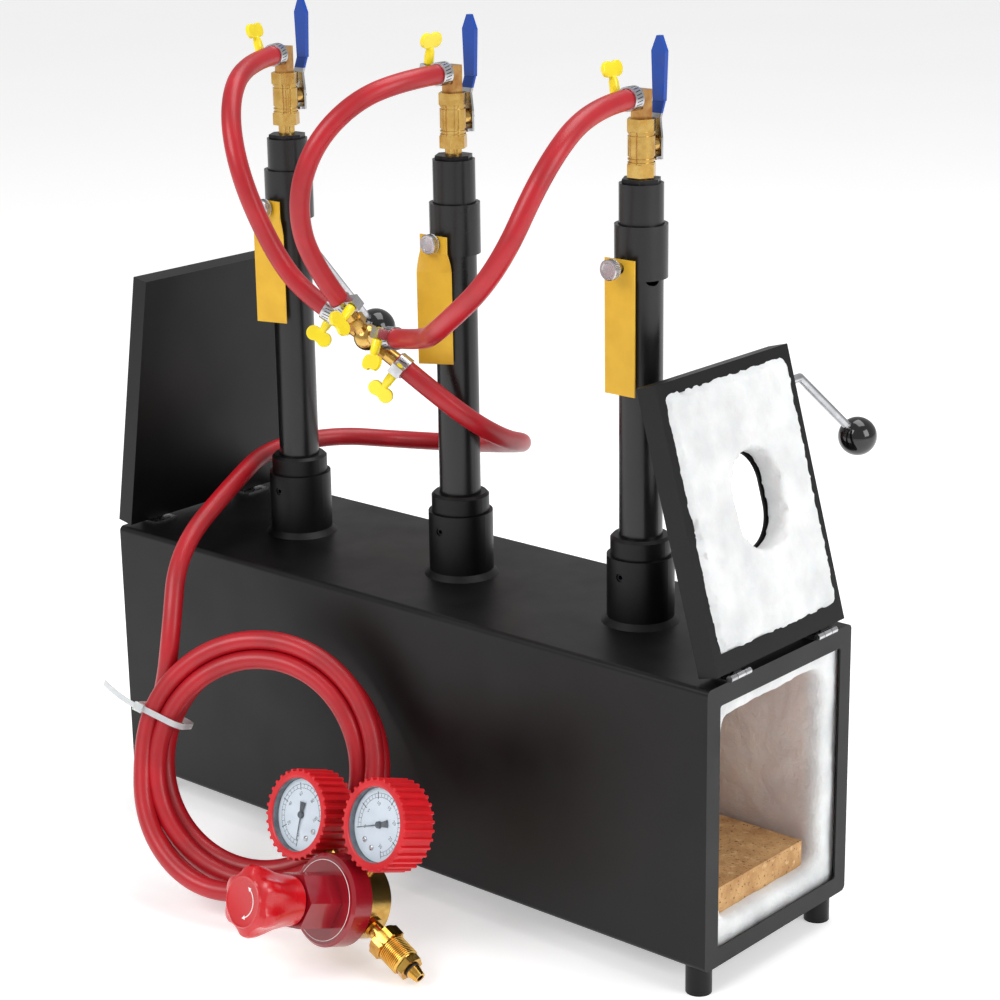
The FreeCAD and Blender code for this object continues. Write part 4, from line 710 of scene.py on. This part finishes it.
BONNET_FRONT = 22 * MM
ring("bonnet_line", REGULATOR_AT + NOSE * BONNET_FRONT, NOSE, 27.6 * MM, 0.22 * MM,
     LOOKS["white"], None)
INLET = Vector((0.9029, -0.0605, -0.4253)).normalized()
ring("nose_seal", REGULATOR_AT + INLET * 71.8 * MM, INLET, 5.1 * MM, 0.95 * MM, LOOKS["rubber"],
     None, count=48)


NUT_BORE = 6.05 * MM
NUT_FLATS, NUT_CORNER, NUT_CHAMFER = 11.0 * MM, 12.7 * MM, 11.0 * MM
NUT_SIDES = 72
THREAD_START, THREAD_FIRST, THREAD_LAST, THREAD_END = 48.4, 48.9, 64.8, 65.5
THREAD_CRESTS = 11
SEAM = 1e-9


def inlet_nut():
    """A hexagon with turned corners and a threaded sleeve, hollow along the stem."""
    thread = [(THREAD_START * MM, 9.6 * MM)]
    for crest in range(THREAD_CRESTS):
        reach = THREAD_FIRST + (THREAD_LAST - THREAD_FIRST) * crest / THREAD_CRESTS
        thread += [(reach * MM, 9.75 * MM), ((reach + 0.55) * MM, 10.5 * MM),
                   ((reach + 0.85) * MM, 10.5 * MM)]
    thread += [(64.9 * MM, 9.6 * MM), (THREAD_END * MM, 9.2 * MM), (THREAD_END * MM, NUT_BORE),
               (THREAD_START * MM, NUT_BORE), (THREAD_START * MM, 9.6 * MM)]
    limits = {38.7 * MM: NUT_CHAMFER, 39.5 * MM: NUT_CORNER, 47.9 * MM: NUT_CORNER,
              48.6 * MM: NUT_CHAMFER}

    def wobble(angle, reach):
        """What the flats add to the lathe's stand-in radius of 1 mm."""
        if reach not in limits:
            return 0
        bent = (angle + math.pi / 6) % (math.pi / 3) - math.pi / 6
        return min(NUT_FLATS / math.cos(bent), limits[reach]) - 1 * MM
    hexagon = [(38.7 * MM + SEAM, NUT_BORE)] + [(reach, 1 * MM) for reach in limits]
    hexagon += [(48.6 * MM + 1e-7, NUT_BORE), (38.7 * MM + SEAM, NUT_BORE)]
    mesh = gather(lathe(hexagon, REGULATOR_AT, INLET, UPRIGHT, NUT_SIDES, wobble),
                  lathe(thread, REGULATOR_AT, INLET, UPRIGHT, NUT_SIDES))
    made = piece("nut_turned", *mesh, "inlet_nut_body", LOOKS["gold"], "brass")
    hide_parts("inlet_nut")


inlet_nut()

TICKS_PER_NUMBER = 5
DIAL_DEPTH = 11 * MM
DIAL_RADIUS = 25.2 * MM
SWEEP = 135


def spoke(angle, near, far, half):
    """A short radial bar at that angle, clockwise from up, as flat corners."""
    way = Vector((math.sin(angle), math.cos(angle)))
    side = Vector((way.y, -way.x)) * half
    corners = (way * near - side, way * near + side, way * far + side, way * far - side)
    return [tuple(c) for c in reversed(corners)]


def arc_band(radius, half, count=80):
    turns = [math.radians(-SWEEP + 2 * SWEEP * i / count) for i in range(count + 1)]
    outer = [((radius + half) * math.sin(t), (radius + half) * math.cos(t)) for t in turns]
    inner = [((radius - half) * math.sin(t), (radius - half) * math.cos(t)) for t in turns]
    return outer + inner[::-1]


def numeral(text, at, right, up, out, height):
    curve = bpy.data.curves.new("numeral", "FONT")
    curve.body = text
    curve.size = height
    curve.align_x = "CENTER"
    curve.align_y = "CENTER"
    curve.resolution_u = 2
    holder = bpy.data.objects.new("numeral", curve)
    bpy.context.scene.collection.objects.link(holder)
    bpy.context.view_layer.update()
    mesh = bpy.data.meshes.new_from_object(
        holder.evaluated_get(bpy.context.evaluated_depsgraph_get()))
    verts = [at + right * v.co.x + up * v.co.y for v in mesh.vertices]
    faces = [tuple(polygon.vertices) for polygon in mesh.polygons]
    bpy.data.objects.remove(holder)
    return verts, faces


def gauge(number, numbers):
    joint = JOINTS[f"gauge_needle_{number}_turn"]
    middle = Vector(joint["pos_m"])
    up = (middle - REGULATOR_AT).normalized()
    up = (up - NOSE * up.dot(NOSE)).normalized()
    right = up.cross(NOSE)
    if right.dot(ACROSS) * up.dot(UPRIGHT) < 0:
        right = -right
    centre = middle + NOSE * DIAL_DEPTH
    face = lathe([(0.02 * MM, 0), (0.02 * MM, DIAL_RADIUS), (0.32 * MM, DIAL_RADIUS),
                  (0.34 * MM, 0)], centre, NOSE, up)
    piece(f"dial_{number}", *face, "forge", LOOKS["dial"], None)
    front = centre + NOSE * 0.36 * MM
    marks = []
    for radius in (21.4, 18.6):
        marks.append(slab(arc_band(radius * MM, 0.12 * MM), front, right, up, NOSE, 0.05 * MM))
    divisions = TICKS_PER_NUMBER * (len(numbers) - 1)
    for tick in range(divisions + 1):
        turn = math.radians(-SWEEP + 2 * SWEEP * tick / divisions)
        major = tick % TICKS_PER_NUMBER == 0
        near, far, half = (17.4, 22.6, 0.28) if major else (18.6, 21.4, 0.13)
        bar = spoke(turn, near * MM, far * MM, half * MM)
        marks.append(slab(bar, front, right, up, NOSE, 0.05 * MM))
        if major:
            way = right * math.sin(turn) + up * math.cos(turn)
            text = numbers[tick // TICKS_PER_NUMBER]
            marks.append(numeral(text, front + way * 14.6 * MM, right, up, NOSE, 3.6 * MM))
    piece(f"dial_marks_{number}", *gather(*marks), "forge", LOOKS["ink"], None)
    bolts = []
    for side in (-1, 1):
        head = centre + (right * 4.4 * side - up * 16.6) * MM
        bolts.append(lathe([(0.3 * MM, 0), (0.3 * MM, 1.9 * MM), (1.1 * MM, 1.8 * MM),
                            (1.5 * MM, 1.2 * MM), (1.6 * MM, 0)], head, NOSE, up, 24))
    piece(f"dial_screws_{number}", *gather(*bolts), "forge", LOOKS["steel"], "bright_steel")
    hub = lathe([(0.4 * MM, 0), (0.4 * MM, 2.6 * MM), (2.4 * MM, 2.3 * MM), (2.7 * MM, 0)],
                centre, NOSE, up, 32)
    turn = math.radians(-SWEEP)
    way = right * math.sin(turn) + up * math.cos(turn)
    square = NOSE.cross(way)
    blade = [(-2.6, -9.0), (2.6, -9.0), (1.5, -2), (0.45, 2), (0.12, 18), (-0.12, 18),
             (-0.45, 2), (-1.5, -2)]
    hand = slab([(x * MM, y * MM) for x, y in blade], centre + NOSE * 1.1 * MM, square, way,
                NOSE, 0.5 * MM)
    made = piece(f"needle_{number}", *gather(hub, hand), f"gauge_needle_{number}_body",
                 LOOKS["needle"], "grey_needle")
    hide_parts(f"gauge_needle_{number}")
    rim = [(12.6, 25.6), (16.4, 25.7), (17.0, 26.4), (17.2, 27.6), (17.0, 29.6), (16.2, 30.4),
           (14.0, 30.5), (12.6, 30.3), (12.6, 25.6)]
    band = lathe([(reach * MM, radius * MM) for reach, radius in rim], middle, NOSE, up, 96)
    piece(f"boot_rim_{number}", *band, "forge", LOOKS["boot"], "red_boot")


gauge(1, ("0", "20", "40", "60", "80", "100"))
gauge(2, ("0", "5", "10", "15", "20", "25", "30"))

# ---- clamps, keys, screws and the tie ----

BAND_MIDDLE = 5.5 * MM
SHANK_LOW, SHANK_LENGTH = 4.15, 12.0


def wing_outline():
    """A paddle with two round lobes and a dip between them, on a narrow shank."""
    lobe, apart, height, count = 5.4, 4.5, 6.4, 14
    right_half = []
    for step in range(count + 1):
        angle = math.radians(-118 + 244 * step / count)
        right_half.append((apart + lobe * math.cos(angle), height + lobe * math.sin(angle)))
    left_half = [(-x, y) for x, y in reversed(right_half)]
    return [(2.6, -1.5)] + right_half + left_half + [(-2.6, -1.5)]


def wing_key(name, along):
    joint = JOINTS[f"{name}_turn"]
    at = Vector(joint["pos_m"])
    axis = Vector(joint["axis"]).normalized()
    side, flat, axis = basis(axis, along)
    foot = lathe([(-4.4 * MM, 0), (-4.4 * MM, 2.4 * MM), (SHANK_LOW * MM, 2.4 * MM),
                  (SHANK_LOW * MM, 3.3 * MM), ((SHANK_LOW + 0.6) * MM, 3.5 * MM),
                  ((SHANK_LOW + 8) * MM, 3.3 * MM), ((SHANK_LOW + 11.5) * MM, 2.4 * MM),
                  ((SHANK_LOW + 12.5) * MM, 0)], at, axis, flat, 28)
    low = at + axis * (SHANK_LOW + SHANK_LENGTH - 2) * MM
    paddle = slab([(x * MM, y * MM) for x, y in wing_outline()], low - side * 1.5 * MM, flat,
                  axis, side, 3.0 * MM)
    made = piece(f"{name}_shape", *gather(foot, paddle), f"{name}_body", LOOKS["yellow"],
                 "yellow_key", rounded=0.9 * MM)
    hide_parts(name)


def perforations(start, along):
    """Dark slots round a worm band, skewed as its thread is."""
    centre = Vector(start) * MM + Vector(along).normalized() * BAND_MIDDLE
    side, hint, along = basis(along, Z)
    radius, count = 8.19 * MM, 22
    slots = []
    for slot_number in range(count):
        angle = 2 * math.pi * slot_number / count
        verts = []
        for reach, turn in ((-2.6, -0.095), (2.6, 0.025), (2.6, 0.095), (-2.6, -0.025)):
            way = hint * math.cos(angle + turn) + side * math.sin(angle + turn)
            verts.append(centre + way * radius + along * reach * MM)
        middle = hint * math.cos(angle) + side * math.sin(angle)
        verts += [v - middle * 0.25 * MM for v in verts]
        slots.append((verts, [(0, 1, 2, 3), (7, 6, 5, 4), (0, 4, 5, 1), (1, 5, 6, 2),
                              (2, 6, 7, 3), (3, 7, 4, 0)]))
    return gather(*slots)


CLAMPED = {}
for number, route in BRANCHES.items():
    CLAMPED[f"burner_key_{number}"] = (route[0], Vector(route[1]) - Vector(route[0]))
    CLAMPED[f"manifold_key_{number}"] = (route[-1], Vector(route[-2]) - Vector(route[-1]))
CLAMPED["manifold_key_4"] = (FEED[0], Vector(FEED[1]) - Vector(FEED[0]))
CLAMPED["outlet_key"] = (OUTLET[-1], Vector(OUTLET[-2]) - Vector(OUTLET[-1]))
for name, (start, along) in CLAMPED.items():
    wing_key(name, along)
slots = gather(*[perforations(start, along) for start, along in CLAMPED.values()])
piece("band_slots", *slots, "forge", LOOKS["dark"], "dark_steel")


KNURLS = 36


def choke_screw(number):
    """A knurled head on a plain thread."""
    name = f"choke_screw_{number}"
    low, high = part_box(name)
    x, z = (low.x + high.x) / 2, (low.z + high.z) / 2
    end = -low.y
    teeth = KNURLS

    def wobble(angle, reach):
        knurled = end - 4.9 * MM < reach < end - 0.6 * MM
        return -0.4 * MM * (0.5 + 0.5 * math.cos(teeth * angle)) if knurled else 0
    profile = [(-high.y, 0), (-high.y, 2.95 * MM), (end - 5.5 * MM, 2.95 * MM),
               (end - 5.5 * MM, 6.4 * MM), (end - 4.95 * MM, 7 * MM), (end - 4.8 * MM, 7 * MM),
               (end - 0.7 * MM, 7 * MM), (end - 0.55 * MM, 7 * MM), (end, 6.4 * MM),
               (end - 0.05 * MM, 5 * MM), (end - 0.4 * MM, 4.6 * MM), (end - 0.4 * MM, 0)]
    mesh = lathe(profile, Vector((x, 0, z)), -Y, Z, teeth * 5, wobble)
    made = piece(f"{name}_knurled", *mesh, f"{name}_body", LOOKS["steel"], "bright_steel")
    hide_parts(name)


for number in BURNERS:
    choke_screw(number)


def cable_tie():
    """A ribbed strap round the coil with its lock and a long free end."""
    angle = math.radians(160)
    outward = COIL_RIGHT * math.cos(angle) + COIL_UP * math.sin(angle)
    around = COIL_OUT.cross(outward)
    centre = (COIL_AT + outward * 84.2) * MM
    half_wide, half_deep, corner = 18.9 * MM, 15.0 * MM, 9.0 * MM
    path = []
    for quarter, (sx, sy) in enumerate(((1, 1), (-1, 1), (-1, -1), (1, -1))):
        for step in range(9):
            turn = math.radians(90 * quarter + 90 * step / 8)
            path.append(outward * (sx * (half_wide - corner) + corner * math.cos(turn))
                        + COIL_OUT * (sy * (half_deep - corner) + corner * math.sin(turn)))
    verts, faces = [], []
    wide, thick = 2.2 * MM, 1.1 * MM
    for point in path:
        way = point.normalized()
        for reach, across in ((0, -wide), (thick, -wide), (thick, wide), (0, wide)):
            verts.append(centre + point + way * reach + around * across)
    count = len(path)
    for step in range(count):
        here, after = 4 * step, 4 * ((step + 1) % count)
        for edge in range(4):
            other = (edge + 1) % 4
            faces.append((here + edge, here + other, after + other, after + edge))
    head_at = centre + outward * 15 * MM + COIL_OUT * 15.6 * MM
    block = [(-3.6, -3.2), (3.6, -3.2), (3.6, 3.2), (-3.6, 3.2)]
    head = slab([(x * MM, y * MM) for x, y in block], head_at, outward, around, COIL_OUT,
                3.4 * MM)
    tail_verts, tail_faces = [], []
    steps = 14
    for step in range(steps + 1):
        share = step / steps
        at = head_at + COIL_OUT * (1.4 + 5 * share * share) * MM + outward * (3 + 27 * share) * MM
        at += around * (-6 * share * share) * MM
        for rise, across in ((0, -wide), (thick, -wide), (thick, wide), (0, wide)):
            tail_verts.append(at + COIL_OUT * rise + around * across * 0.9)
    for step in range(steps):
        here, after = 4 * step, 4 * (step + 1)
        for edge in range(4):
            other = (edge + 1) % 4
            tail_faces.append((here + edge, here + other, after + other, after + edge))
    tail_faces += [(3, 2, 1, 0), tuple(4 * steps + i for i in range(4))]
    mesh = gather((verts, faces), head, (tail_verts, tail_faces))
    made = piece("tie_strap", *mesh, "forge", LOOKS["nylon"], "clear_nylon", rounded=0.3 * MM)
    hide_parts("cable_tie")


cable_tie()

for node in NODES.values():
    smooth(node)
